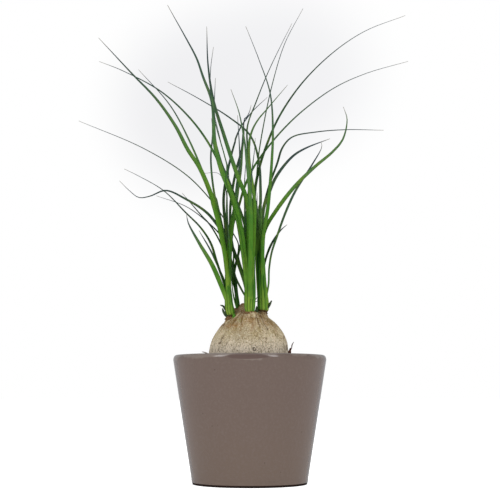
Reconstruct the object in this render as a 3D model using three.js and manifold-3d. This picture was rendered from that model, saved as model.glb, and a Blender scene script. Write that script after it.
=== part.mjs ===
// A potted ponytail palm: a tan bulb with four tufts of grass-like leaves,
// standing in potting soil inside a plain tapered cover pot of glazed ceramic.
//
// Millimetres, +Z up. The origin is the centre of the pot's flat underside,
// +Z is the pot's axis, and the plant's front faces -Y.

import * as THREE from 'three';
import { mergeVertices } from 'three/addons/utils/BufferGeometryUtils.js';
import Module from 'manifold-3d';

const wasm = await Module();
wasm.setup();

// Pot
const POT_HEIGHT = 116;
const POT_RIM_RADIUS = 70;
const POT_FOOT_RADIUS = 52.6;
const POT_WALL = 5.4;
const POT_FLOOR = 7;
const LIP_RADIUS = 2.7;
const FOOT_ROUND = 3.4;
const POT_SIDES = 56;

// Soil
const SOIL_EDGE_HEIGHT = 106.5;
const SOIL_MOUND_HEIGHT = 7;
const SOIL_GAP = 0.3;
const BULB_GAP = 0.5;

// Bulb
const BULB_SIDES = 32;
const SOCKET_GAP = 0.4;

// Leaves
const VIEW_DISTANCE = 1100;
const EYE_HEIGHT = 80;
const LEAF_THICKNESS = 0.8;
const LEAF_STEP = 11;
const TIP_WIDTH = 0.9;

// ---------------------------------------------------------------- helpers

// A closed geometry as a solid that can be joined and cut.
function solidOf(geometry) {
  const bare = geometry.index ? geometry.toNonIndexed() : geometry.clone();
  bare.deleteAttribute('normal');
  bare.deleteAttribute('uv');
  const merged = mergeVertices(bare, 1e-3);
  const index = merged.index.array;
  const kept = [];
  for (let i = 0; i < index.length; i += 3) {
    const [a, b, c] = [index[i], index[i + 1], index[i + 2]];
    if (a !== b && b !== c && c !== a) {
      kept.push(a, b, c);
    }
  }
  return new wasm.Manifold(new wasm.Mesh({
    numProp: 3,
    vertProperties: new Float32Array(merged.attributes.position.array),
    triVerts: new Uint32Array(kept),
  }));
}

function joined(solids) {
  return solids.reduce((whole, next) => whole.add(next));
}

function geometryOf(solid) {
  const mesh = solid.getMesh();
  const geometry = new THREE.BufferGeometry();
  const positions = new THREE.BufferAttribute(new Float32Array(mesh.vertProperties), 3);
  geometry.setAttribute('position', positions);
  geometry.setIndex(new THREE.BufferAttribute(new Uint32Array(mesh.triVerts), 1));
  geometry.computeVertexNormals();
  return geometry;
}

// A profile of [radius, height] points turned about +Z.
function turned(profile, sides) {
  const points = profile.map(([radius, height]) => new THREE.Vector2(radius, height));
  const geometry = new THREE.LatheGeometry(points, sides);
  geometry.rotateX(Math.PI / 2);
  return geometry;
}

// Points on a quarter-like arc, angles in degrees from +radius towards +height.
function arc(centreRadius, centreHeight, radius, fromAngle, toAngle, steps) {
  const points = [];
  for (let i = 0; i <= steps; i += 1) {
    const angle = THREE.MathUtils.degToRad(fromAngle + ((toAngle - fromAngle) * i) / steps);
    points.push([
      centreRadius + radius * Math.cos(angle),
      centreHeight + radius * Math.sin(angle),
    ]);
  }
  return points;
}

// A closed skin over rings of points that all have the same count.
function skin(rings) {
  const count = rings[0].length;
  const positions = [];
  const index = [];
  for (const ring of rings) {
    for (const point of ring) {
      positions.push(point.x, point.y, point.z);
    }
  }
  for (let r = 0; r < rings.length - 1; r += 1) {
    for (let i = 0; i < count; i += 1) {
      const a = r * count + i;
      const b = r * count + ((i + 1) % count);
      index.push(a, b, b + count);
      index.push(a, b + count, a + count);
    }
  }
  const last = (rings.length - 1) * count;
  for (let i = 1; i < count - 1; i += 1) {
    index.push(0, i + 1, i);
    index.push(last, last + i, last + i + 1);
  }
  const geometry = new THREE.BufferGeometry();
  geometry.setAttribute('position', new THREE.Float32BufferAttribute(positions, 3));
  geometry.setIndex(index);
  return geometry;
}

// A round rod through stations of [x, y, z, radius].
function rod(stations, sides) {
  const centres = stations.map(([x, y, z]) => new THREE.Vector3(x, y, z));
  const rings = stations.map(([, , , radius], i) => {
    const before = centres[Math.max(i - 1, 0)];
    const after = centres[Math.min(i + 1, centres.length - 1)];
    const along = after.clone().sub(before).normalize();
    const side = new THREE.Vector3(0, 1, 0).cross(along).normalize();
    const front = along.clone().cross(side);
    const ring = [];
    for (let k = 0; k < sides; k += 1) {
      const angle = (2 * Math.PI * k) / sides;
      ring.push(centres[i].clone()
        .addScaledVector(side, radius * Math.cos(angle))
        .addScaledVector(front, radius * Math.sin(angle)));
    }
    return ring;
  });
  return solidOf(skin(rings));
}

// ---------------------------------------------------------------- leaves

// A leaf's route is given as [x, z] points in the plane y = 0, as the eye sees
// them from the front. Its depth is y at the foot, halfway and at the tip, and a
// point set forward or back is scaled about the eye, so it keeps its place in view.
function seen(x, z, y) {
  const scale = 1 + y / VIEW_DISTANCE;
  return new THREE.Vector3(x * scale, y, EYE_HEIGHT + (z - EYE_HEIGHT) * scale);
}

function throughThree([foot, middle, tip], s) {
  return foot * (1 - s) * (1 - 2 * s) + middle * 4 * s * (1 - s) + tip * s * (2 * s - 1);
}

function leafCurve(route, depth) {
  const lengths = [0];
  for (let i = 1; i < route.length; i += 1) {
    const step = Math.hypot(route[i][0] - route[i - 1][0], route[i][1] - route[i - 1][1]);
    lengths.push(lengths[i - 1] + step);
  }
  const whole = lengths[lengths.length - 1];
  const points = route.map(([x, z], i) => seen(x, z, throughThree(depth, lengths[i] / whole)));
  return new THREE.CatmullRomCurve3(points, false, 'centripetal');
}

// Width along a leaf: narrow at the sheath, full at a third, drawn out to the tip.
function leafWidth(width, s) {
  const foot = 0.72 + 0.28 * Math.sin(Math.min(s / 0.3, 1) * Math.PI / 2);
  const taper = 1 - Math.pow(Math.max(s - 0.25, 0) / 0.75, 1.7);
  return Math.max(width * foot * taper, TIP_WIDTH);
}

// One blade. face is the angle that its broad side is turned away from the
// front, at the foot and at the tip: 0 shows the broad side and 90 the edge.
function blade({ width, face, depth, route }) {
  const curve = leafCurve(route, depth);
  const count = Math.max(4, Math.round(curve.getLength() / LEAF_STEP));
  const front = new THREE.Vector3(0, -1, 0);
  const rings = [];
  for (let i = 0; i <= count; i += 1) {
    const s = i / count;
    const centre = curve.getPointAt(s);
    const along = curve.getTangentAt(s);
    const across = along.clone().cross(front).normalize();
    const away = across.clone().cross(along).normalize();
    const angle = THREE.MathUtils.degToRad(face[0] + (face[1] - face[0]) * s);
    const wide = across.clone().multiplyScalar(Math.cos(angle))
      .addScaledVector(away, Math.sin(angle));
    const thick = wide.clone().cross(along).normalize();
    const half = leafWidth(width, s) / 2;
    const thickness = LEAF_THICKNESS * (i === count ? 0.8 : 1);
    const ridge = half * 0.55;
    rings.push([
      centre.clone().addScaledVector(wide, -half).addScaledVector(thick, -thickness / 2),
      centre.clone().addScaledVector(wide, -ridge).addScaledVector(thick, thickness / 2),
      centre.clone().addScaledVector(wide, ridge).addScaledVector(thick, thickness / 2),
      centre.clone().addScaledVector(wide, half).addScaledVector(thick, -thickness / 2),
    ]);
  }
  return solidOf(skin(rings));
}

// The four tufts. stem holds [x, y, z, radius] stations of the tight roll of leaf
// sheaths that the blades leave, from the peg in the bulb upwards.
const SHOOTS = {
  shoot_left: {
    stem: [
      [-17.6, -4, 147.5, 2.6], [-18.4, -4, 153.5, 2.9], [-18.6, -4, 156, 3.9],
      [-19, -4, 165, 3.8], [-20, -4, 185, 3], [-20.6, -4, 204, 1.9],
    ],
    blades: [
      {
        width: 4, face: [8, 30], depth: [-5, -20, -60],
        route: [[-19, 160], [-24, 174], [-35, 198], [-47, 219.5], [-57, 239], [-59, 248]],
      },
      {
        width: 3.2, face: [58, 72], depth: [-4, -2, -14],
        route: [
          [-18.5, 165], [-23, 184], [-30, 203], [-36, 219.5], [-45, 234],
          [-60, 249.5], [-80, 269.5], [-104, 283.5], [-117, 290],
        ],
      },
      {
        width: 2.6, face: [66, 76], depth: [-3, 6, 26],
        route: [[-18.5, 165], [-24, 186], [-29, 197], [-36, 212.5], [-47, 232]],
      },
      {
        width: 5, face: [10, 35], depth: [-6, -18, -48],
        route: [
          [-19, 160], [-20.5, 200], [-25, 228], [-31, 252], [-38, 272], [-47, 291.5],
          [-58, 308], [-70, 331], [-88, 357], [-110, 380.5], [-144, 415],
        ],
      },
      {
        width: 3.4, face: [35, 62], depth: [-4, -2, 16],
        route: [
          [-19, 160], [-21, 200], [-25, 230], [-30, 252], [-44, 288],
          [-57, 317], [-75, 350], [-105, 385],
        ],
      },
      {
        width: 2.8, face: [58, 74], depth: [-3, 4, 22],
        route: [[-19.5, 170], [-21, 190], [-24, 212], [-36, 235.5], [-46, 247], [-63, 267]],
      },
      {
        width: 3.4, face: [40, 68], depth: [-1.5, 30, 48],
        route: [
          [-19, 168], [-17.8, 210], [-16, 235], [-11, 252], [-5, 273], [3, 291],
          [13, 306], [30, 327], [50, 346.5], [80, 368.5], [110, 382], [150, 393],
        ],
      },
      {
        width: 3, face: [50, 62], depth: [-5, 10, 44],
        route: [
          [-19.5, 175], [-19, 235], [-18.5, 258], [-14, 287], [-8, 309],
          [-5.5, 330], [-2.5, 346.5], [1.5, 357],
        ],
      },
      {
        width: 2.4, face: [50, 66], depth: [-4, -14, -34],
        route: [[-19, 178], [-18, 215], [-18.5, 238], [-19, 268]],
      },
    ],
  },
  shoot_back_left: {
    stem: [
      [-12, 10, 152, 2.4], [-12, 10, 160, 2.6], [-12, 10, 163, 3],
      [-12.6, 10, 175, 2.4], [-13.6, 11, 188, 1.4],
    ],
    blades: [
      {
        width: 2.8, face: [60, 62], depth: [10, 28, 62],
        route: [
          [-12, 166], [-13.5, 185], [-17, 202], [-23, 225], [-28, 245],
          [-33.5, 270], [-36.5, 300], [-35, 322], [-33, 377],
        ],
      },
      {
        width: 3.4, face: [50, 60], depth: [10, 24, 70],
        route: [
          [-12, 165], [-13.5, 176], [-17.5, 191], [-20.5, 210], [-23, 235],
          [-25.3, 262], [-21, 290], [-10, 326], [2, 344], [16, 359],
        ],
      },
      {
        width: 2.6, face: [60, 64], depth: [10, 36, 78],
        route: [
          [-12.5, 170], [-13.8, 190], [-11, 212], [-7.5, 245], [-6, 275], [-4.3, 304],
        ],
      },
      {
        width: 2.2, face: [50, 58], depth: [11, 30, 68],
        route: [[-13, 175], [-15.5, 200], [-15.3, 214], [-17.5, 235], [-17, 257]],
      },
      {
        width: 2.4, face: [66, 72], depth: [11, 40, 88],
        route: [
          [-13.4, 178], [-18, 205], [-21.5, 235], [-21.5, 268], [-20, 285],
          [-25.5, 308], [-33.5, 350],
        ],
      },
      {
        width: 2, face: [60, 70], depth: [11, 30, 62],
        route: [
          [-13, 178], [-16.5, 205], [-20.5, 235], [-21, 262], [-24, 280],
          [-30, 286.5], [-43, 286],
        ],
      },
    ],
  },
  shoot_centre: {
    stem: [
      [0, -10, 151, 2.9], [0, -10, 157, 3.2], [0, -10, 160, 4.7],
      [0, -10, 172, 5], [-0.3, -10, 190, 4.7], [-0.8, -10, 210, 3.4], [-1, -10, 236, 1.8],
    ],
    blades: [
      {
        width: 5, face: [5, 25], depth: [-12, -36, -78],
        route: [
          [-1, 162], [-3, 200], [-8, 235], [-17, 266], [-26, 288], [-33, 315],
          [-34.5, 345], [-43, 373], [-55, 405], [-64, 420], [-77, 447],
        ],
      },
      {
        width: 2.8, face: [50, 60], depth: [-11, -20, -32],
        route: [[-1, 168], [-4, 215], [-12, 260], [-23, 291], [-32, 318], [-36, 338]],
      },
      {
        width: 3.4, face: [18, 35], depth: [-11, -30, -58],
        route: [
          [-1, 162], [-1, 220], [-5, 265], [-14, 293], [-24, 322],
          [-34, 355], [-39.5, 390], [-41, 427],
        ],
      },
      {
        width: 2.2, face: [60, 72], depth: [-12, -46, -96],
        route: [
          [-1, 180], [-8, 235], [-20, 285], [-33, 330], [-37.5, 360],
          [-37, 385], [-34.5, 407],
        ],
      },
      {
        width: 4.4, face: [0, 20], depth: [-13, -46, -98],
        route: [[0, 162], [1, 250], [-1.5, 290], [-5.5, 322], [-10, 344], [-17.5, 366]],
      },
      {
        width: 3, face: [50, 60], depth: [-10, -20, -46],
        route: [[-1.5, 172], [-6, 220], [-11.5, 252], [-10.5, 278], [-8.5, 303], [-12, 341]],
      },
      {
        width: 3.4, face: [20, 62], depth: [-11, -26, -40],
        route: [
          [1, 165], [3.2, 230], [4.2, 258], [3, 272], [0.8, 290], [0.3, 305],
          [1.2, 317], [3.5, 328], [8, 337], [15, 346], [35, 371],
        ],
      },
      {
        width: 2.2, face: [40, 60], depth: [-12, -34, -76],
        route: [[0, 190], [1.5, 240], [1, 280], [2.8, 308], [4, 320]],
      },
      {
        width: 4, face: [30, 66], depth: [-10, -3, 12],
        route: [
          [0.5, 170], [3, 250], [8, 285], [16, 312], [28, 340], [50, 373],
          [80, 403], [110, 423], [148, 437],
        ],
      },
      {
        width: 3, face: [56, 68], depth: [-10, -4, 24],
        route: [
          [0, 172], [4, 240], [6, 270], [8, 300], [13.5, 335], [21.5, 372],
          [33, 410], [50, 445],
        ],
      },
      {
        width: 3.4, face: [42, 64], depth: [-9, 12, 46],
        route: [
          [-2, 172], [-6, 200], [-8.5, 220], [-12, 245], [-17, 265], [-27, 292],
          [-40, 317], [-58, 341], [-84, 365], [-120, 385], [-142, 393.5],
        ],
      },
      {
        width: 2.6, face: [62, 74], depth: [-9, 19, 34],
        route: [
          [-2.5, 182], [-10.3, 208], [-10.5, 219.5], [-15.5, 229], [-25, 244],
          [-38, 262], [-60, 284.5], [-100, 310], [-160, 336.5],
        ],
      },
      {
        width: 3, face: [52, 68], depth: [-8, 12, 8],
        route: [
          [-2, 172], [-7.5, 192], [-12, 206], [-16, 216], [-26, 230.5], [-40, 248.5],
          [-60, 261.8], [-78, 269.8], [-93, 264.5], [-103, 263.3], [-112, 270],
          [-121, 279],
        ],
      },
      {
        width: 2.4, face: [50, 74], depth: [-8, 11, 24],
        route: [
          [-2, 166], [-8, 177.5], [-14, 189], [-18, 205], [-22, 217], [-27, 228],
          [-43, 243.5], [-60, 254.5], [-87, 264],
        ],
      },
    ],
  },
  shoot_right: {
    stem: [
      [11.2, -2, 150.5, 2.6], [11.4, -2, 157, 2.8], [12, -2, 161, 4.5],
      [12.4, -2, 170, 4.8], [12.2, -2, 182, 4.5], [11.4, -2, 200, 3.2], [11.2, -2, 222, 1.8],
    ],
    blades: [
      {
        width: 3.2, face: [46, 66], depth: [-1, 12, 46],
        route: [
          [10, 172], [9, 205], [7, 222], [4.6, 236], [2.4, 250], [0.6, 275],
          [-1, 305], [-2, 330], [6, 354], [16, 380], [27, 404], [40, 430],
        ],
      },
      {
        width: 3.4, face: [30, 55], depth: [-4, -12, -30],
        route: [[11, 166], [10.6, 200], [10.2, 230], [9, 262], [8.6, 286], [7.8, 300]],
      },
      {
        width: 3.6, face: [30, 60], depth: [-1, 34, 50],
        route: [
          [11.5, 170], [9.5, 220], [10.3, 270], [8.5, 298], [0.5, 321.5],
          [-18, 338], [-48, 357], [-77, 373],
        ],
      },
      {
        width: 3.6, face: [15, 40], depth: [-3, -30, -84],
        route: [
          [12.5, 168], [13.5, 225], [17, 252], [20.2, 280], [22.5, 325],
          [19.5, 362], [9, 394], [-3.5, 427],
        ],
      },
      {
        width: 2.8, face: [58, 74], depth: [-1, 16, 30],
        route: [
          [11.5, 175], [12, 250], [17.5, 272], [26, 295], [31, 310], [40, 320],
          [62, 325], [90, 327.5], [126, 326.5],
        ],
      },
      {
        width: 2.8, face: [56, 72], depth: [-1, 6, 12],
        route: [
          [12, 180], [12.5, 253], [18, 268], [25, 283.5], [40, 302.5],
          [52, 310.5], [75, 319.5],
        ],
      },
      {
        width: 4.2, face: [28, 32], depth: [-3, -14, -38],
        route: [
          [12.5, 168], [12, 215], [14, 232], [25, 252.5], [42, 274.5], [60, 292],
          [78, 307], [87, 318], [91.5, 337], [88, 349],
        ],
      },
      {
        width: 3.2, face: [42, 66], depth: [-3, -6, -18],
        route: [
          [14.5, 164], [17.4, 182], [18, 195], [20.5, 211], [25, 225], [33, 248],
          [42, 268.5], [58, 294], [67.5, 311], [67, 315],
        ],
      },
      {
        width: 2.4, face: [62, 72], depth: [-2, 4, 16],
        route: [[12, 182], [12.5, 200], [19, 217], [28, 232], [34.5, 238]],
      },
    ],
  },
};

// Old leaf stubs, dried and curled, that stay joined to the foot of two tufts.
const STUBS = {
  shoot_left: [
    [[-19, -5, 155, 1.2], [-21.8, -6, 155.2, 1], [-24.2, -6.5, 157.6, 0.8], [-25.4, -6.5, 160.4, 0.5]],
    [[-19.5, -3, 158, 1], [-23.4, -2, 160.4, 0.8], [-27, -1.5, 162.4, 0.5]],
  ],
  shoot_right: [
    [[13.4, -3, 160, 1.2], [17, -4, 162, 1], [18.6, -4.4, 164, 0.8], [20.2, -4.6, 166.2, 0.5]],
  ],
};

function shootSolid(name) {
  const { stem, blades } = SHOOTS[name];
  const pieces = [rod(stem, 10), ...blades.map(blade)];
  for (const stub of STUBS[name] ?? []) {
    pieces.push(rod(stub, 6));
  }
  return joined(pieces);
}

// ---------------------------------------------------------------- bulb

const BULB_PROFILE = [
  [0, 76], [13, 78.5], [24.5, 86], [32, 97], [35.6, 109], [36.2, 118], [35.4, 126],
  [33.6, 132.5], [30, 139.5], [25.6, 145], [20.4, 149.4], [14.6, 153], [8, 155.8], [0, 157],
];

// Low necks that carry the tufts, [x, y, foot height, foot radius, top height,
// top radius], and the dry brown cone of the old growing point behind them.
const NECKS = [
  [-17.4, -4, 145, 7.8, 152.2, 4.6],
  [-11.5, 9, 146, 11, 160, 4.2],
  [0, -9, 149, 13, 157, 5.6],
  [11, -2, 146, 10, 157, 4.4],
  [-5.5, 7, 150, 12, 164, 2.6],
];

// Thick roots that leave the underside of the bulb: direction in degrees about
// +Z, height where they leave, how far out they end and how deep.
const ROOTS = [
  [20, 92, 41, 58], [95, 88, 36, 40], [165, 91, 42, 62], [238, 87, 35, 36], [305, 90, 40, 50],
];

function lumpy(geometry, grow) {
  const place = geometry.attributes.position;
  for (let i = 0; i < place.count; i += 1) {
    const [x, y, z] = [place.getX(i), place.getY(i), place.getZ(i)];
    const radius = Math.hypot(x, y);
    const rise = grow * THREE.MathUtils.clamp((z - 110) / 30, -1, 1);
    if (radius > 1) {
      const angle = Math.atan2(y, x);
      const swell = 0.6 * Math.sin(3 * angle + z / 19) + 0.4 * Math.sin(5 * angle - z / 13 + 1);
      const scale = 1 + (swell * Math.min(radius / 36, 1) + grow) / radius;
      place.setXYZ(i, x * scale - 0.8, y * scale, z + rise);
    } else {
      place.setXYZ(i, x - 0.8, y, z + rise);
    }
  }
  return geometry;
}

// The bulb with its roots and necks. grow fattens what stands in the soil, so
// the same shape also gives the hollow that it leaves there.
function bulbSolid(grow) {
  const pieces = [solidOf(lumpy(turned(BULB_PROFILE, BULB_SIDES), grow))];
  for (const [degrees, height, reach, depth] of ROOTS) {
    const angle = THREE.MathUtils.degToRad(degrees);
    const at = (radius, z, thick) => [
      radius * Math.cos(angle), radius * Math.sin(angle), z, thick + grow,
    ];
    pieces.push(rod([
      at(18, height + 4, 4.2), at(27, height - 12, 3.4),
      at((27 + reach) / 2, (height + depth) / 2 - 8, 2.4), at(reach, depth - grow, 1.1),
    ], 8));
  }
  for (const [x, y, footZ, footRadius, topZ, topRadius] of grow > 0 ? [] : NECKS) {
    pieces.push(rod([
      [x, y, footZ, footRadius], [x, y, (footZ + topZ) / 2, (footRadius + topRadius) / 2 - 0.3],
      [x, y, topZ, topRadius],
    ], 14));
  }
  return joined(pieces);
}

function socketOf(stem) {
  const [foot, mouth] = stem;
  return rod([
    [foot[0], foot[1], foot[2] - SOCKET_GAP, foot[3] + SOCKET_GAP],
    [mouth[0], mouth[1], mouth[2] + 0.2, mouth[3] + SOCKET_GAP],
    [mouth[0], mouth[1], mouth[2] + 20, mouth[3] + SOCKET_GAP + 3],
  ], 10);
}

function caudexSolid() {
  let bulb = bulbSolid(0);
  for (const { stem } of Object.values(SHOOTS)) {
    bulb = bulb.subtract(socketOf(stem));
  }
  return bulb;
}

// ---------------------------------------------------------------- pot

// The straight taper of the outside, carried down to the underside.
const TAPER = (POT_RIM_RADIUS - POT_FOOT_RADIUS) / (POT_HEIGHT - LIP_RADIUS);

function outsideRadius(height) {
  return POT_FOOT_RADIUS + TAPER * height;
}

function insideRadius(height) {
  return outsideRadius(height) - POT_WALL;
}

const POT_PROFILE = [
  [0, 0],
  ...arc(POT_FOOT_RADIUS - FOOT_ROUND + 0.3, FOOT_ROUND, FOOT_ROUND, -90, 0, 4),
  ...arc(POT_RIM_RADIUS - LIP_RADIUS, POT_HEIGHT - LIP_RADIUS, LIP_RADIUS, 0, 180, 8),
  [insideRadius(POT_FLOOR + 5), POT_FLOOR + 5],
  [insideRadius(POT_FLOOR + 5) - 1.6, POT_FLOOR + 1.4],
  [insideRadius(POT_FLOOR + 5) - 5, POT_FLOOR],
  [0, POT_FLOOR],
];

// ---------------------------------------------------------------- soil

const SOIL_FLOOR = POT_FLOOR + SOIL_GAP;

// Height of the soil, mounded against the bulb and uneven with crumbs.
function soilHeight(x, y) {
  const radius = Math.hypot(x, y);
  const mound = SOIL_MOUND_HEIGHT * Math.exp(-Math.pow(Math.max(radius - 36, 0) / 13, 2));
  const broad = 0.7 * Math.sin(x / 7.3 + 1.2) * Math.cos(y / 8.9 - 0.5);
  const crumbs = 0.8 * Math.sin(x / 2.1 + y / 5.3) * Math.sin(y / 2.4 - x / 6.1 + 2);
  return SOIL_EDGE_HEIGHT + mound + broad + crumbs;
}

function soilBody() {
  const edge = insideRadius(SOIL_EDGE_HEIGHT) - SOIL_GAP;
  const steps = [0, 20, 30, 38, 43, 48, 53, 58, edge - 0.8];
  const foot = insideRadius(POT_FLOOR + 5) - SOIL_GAP;
  const profile = [
    [0, SOIL_FLOOR],
    [foot - 5.2, SOIL_FLOOR],
    [foot, POT_FLOOR + 6],
    [insideRadius(100) - SOIL_GAP, 100],
    ...steps.reverse().map((radius) => [radius, SOIL_EDGE_HEIGHT]),
  ];
  const geometry = turned(profile, 44);
  const place = geometry.attributes.position;
  for (let i = 0; i < place.count; i += 1) {
    if (place.getZ(i) > SOIL_EDGE_HEIGHT - 0.01) {
      place.setZ(i, soilHeight(place.getX(i), place.getY(i)));
    }
  }
  return solidOf(geometry);
}

// Two scraps that stick up beside the bulb: a chip of bark on the left and a
// dry length of root on the right. Both stand in plain holes in the soil.
const BARK_CHIP = [[-39.5, 4, 109.5, 1.3], [-40.5, 2, 115, 1.7], [-43.8, 0, 119.4, 0.8]];
const ROOT_SCRAP = [
  [38.6, 3, 108.5, 0.9], [37, 1, 115, 1.3], [37.6, 0, 121.6, 0.9], [40, 0, 128, 0.6],
];

function holeFor(stations) {
  const wider = stations.map(([x, y, z, radius]) => [x, y, z, radius + SOIL_GAP]);
  wider[0][2] -= SOIL_GAP;
  return rod(wider, 6);
}

function soilSolid() {
  return soilBody()
    .subtract(bulbSolid(BULB_GAP))
    .subtract(holeFor(BARK_CHIP))
    .subtract(holeFor(ROOT_SCRAP));
}

// ---------------------------------------------------------------- assembly

const MATERIALS = {
  glaze: { color: '#71645c', roughness: 0.34, metalness: 0 },
  soil: { color: '#3b2c22', roughness: 0.95, metalness: 0 },
  bulb: { color: '#b9ad8f', roughness: 0.85, metalness: 0 },
  leaf: { color: '#4a8224', roughness: 0.5, metalness: 0 },
  innerLeaf: { color: '#3c6e24', roughness: 0.5, metalness: 0 },
  scrap: { color: '#6b5238', roughness: 0.9, metalness: 0 },
};

const group = new THREE.Group();

function add(name, geometry, look) {
  const mesh = new THREE.Mesh(geometry, new THREE.MeshStandardMaterial(MATERIALS[look]));
  mesh.name = name;
  group.add(mesh);
}

add('pot', geometryOf(solidOf(turned(POT_PROFILE, POT_SIDES))), 'glaze');
add('soil', geometryOf(soilSolid()), 'soil');
add('caudex', geometryOf(caudexSolid()), 'bulb');
add('shoot_left', geometryOf(shootSolid('shoot_left')), 'leaf');
add('shoot_back_left', geometryOf(shootSolid('shoot_back_left')), 'innerLeaf');
add('shoot_centre', geometryOf(shootSolid('shoot_centre')), 'leaf');
add('shoot_right', geometryOf(shootSolid('shoot_right')), 'leaf');
add('bark_chip', geometryOf(rod(BARK_CHIP, 6)), 'scrap');
add('root_scrap', geometryOf(rod(ROOT_SCRAP, 6)), 'scrap');

export default group;
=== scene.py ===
# A potted ponytail palm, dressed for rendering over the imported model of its
# parts: glazed cover pot, potting soil, corky bulb and four tufts of leaves.
# Lengths are written in millimetres and turned to metres where a mesh is made.

import math

import bpy
import bmesh
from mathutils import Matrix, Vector, noise


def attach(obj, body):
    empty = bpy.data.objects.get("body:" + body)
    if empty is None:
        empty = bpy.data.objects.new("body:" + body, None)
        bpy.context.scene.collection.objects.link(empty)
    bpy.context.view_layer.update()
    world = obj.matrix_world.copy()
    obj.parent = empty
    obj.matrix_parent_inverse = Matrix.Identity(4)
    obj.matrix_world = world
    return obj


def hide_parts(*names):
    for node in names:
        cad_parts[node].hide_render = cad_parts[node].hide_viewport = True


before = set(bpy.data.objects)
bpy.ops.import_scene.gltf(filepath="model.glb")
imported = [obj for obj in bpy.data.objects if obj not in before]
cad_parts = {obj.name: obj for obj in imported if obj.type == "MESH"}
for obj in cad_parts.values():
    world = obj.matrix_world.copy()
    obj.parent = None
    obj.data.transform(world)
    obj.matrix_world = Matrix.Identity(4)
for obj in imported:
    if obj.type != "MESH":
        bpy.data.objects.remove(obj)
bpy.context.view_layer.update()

MM = 0.001
# The noise that shifts the bulb's marks starts from the clock unless it has a seed.
noise.seed_set(11)

# Pot
POT_HEIGHT = 116
POT_RIM_RADIUS = 70
POT_FOOT_RADIUS = 52.6
POT_WALL = 5.4
POT_FLOOR = 7
POT_CORNER = POT_FLOOR + 5
LIP_RADIUS = 2.7
LIP_SAG = 4.4
FOOT_ROUND = 5.2
FOOT_INSET = 2
POT_SIDES = 192

# Soil
SOIL_EDGE_HEIGHT = 106.5
SOIL_MOUND_HEIGHT = 7
SOIL_GAP = 0.3
SOIL_SIDES = 180
CRUMBS_PER_SQUARE_METRE = 350000
CRUMB_SIZE = 0.0016

# Bulb
BULB_CENTRE_X = -0.6
BULB_RADIUS = 36
BULB_SIDES = 330
BULB_RINGS = 190
SHOULDER_HEIGHT = 138

# Leaves: the photograph's distance and eye height, the thickness of a blade and
# its trough as a share of its half width.
VIEW_DISTANCE = 1100
EYE_HEIGHT = 80
LEAF_SKIN = 0.34
BLADE_TROUGH = 0.28
BLADE_STEP = 3
STEM_SIDES = 90
STEM_RINGS = 110

# Camera and lights, in metres and degrees.
LENS_MM = 86.08
CAMERA_PLACE = (0.0002, -1.1, 0.0799)
CAMERA_TILT = 6.915
AIM_HEIGHT = 0.116
FLOOR_REACH = 60
# Soft boxes: name, degrees from the front towards +X, degrees up, distance, size
# and radiance against the white of the backdrop.
SOFT_BOXES = (("window left", -48, 34, 1.6, (0.34, 0.9), 5.4),
              ("window right", 38, 34, 1.6, (0.34, 0.9), 5.0),
              ("overhead", 0, 84, 1.9, (1.8, 1.8), 1.0))
# The backdrop is a shade greyer in two broad patches behind the leaves.
BACKDROP_PATCHES = (((-0.185, 0.0, -2.683), (8.86, 0.0, 10.3), "#F2F2F4"),
                    ((0.478, 0.0, -2.299), (10.4, 0.0, 9.85), "#F0F0F2"))

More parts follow.
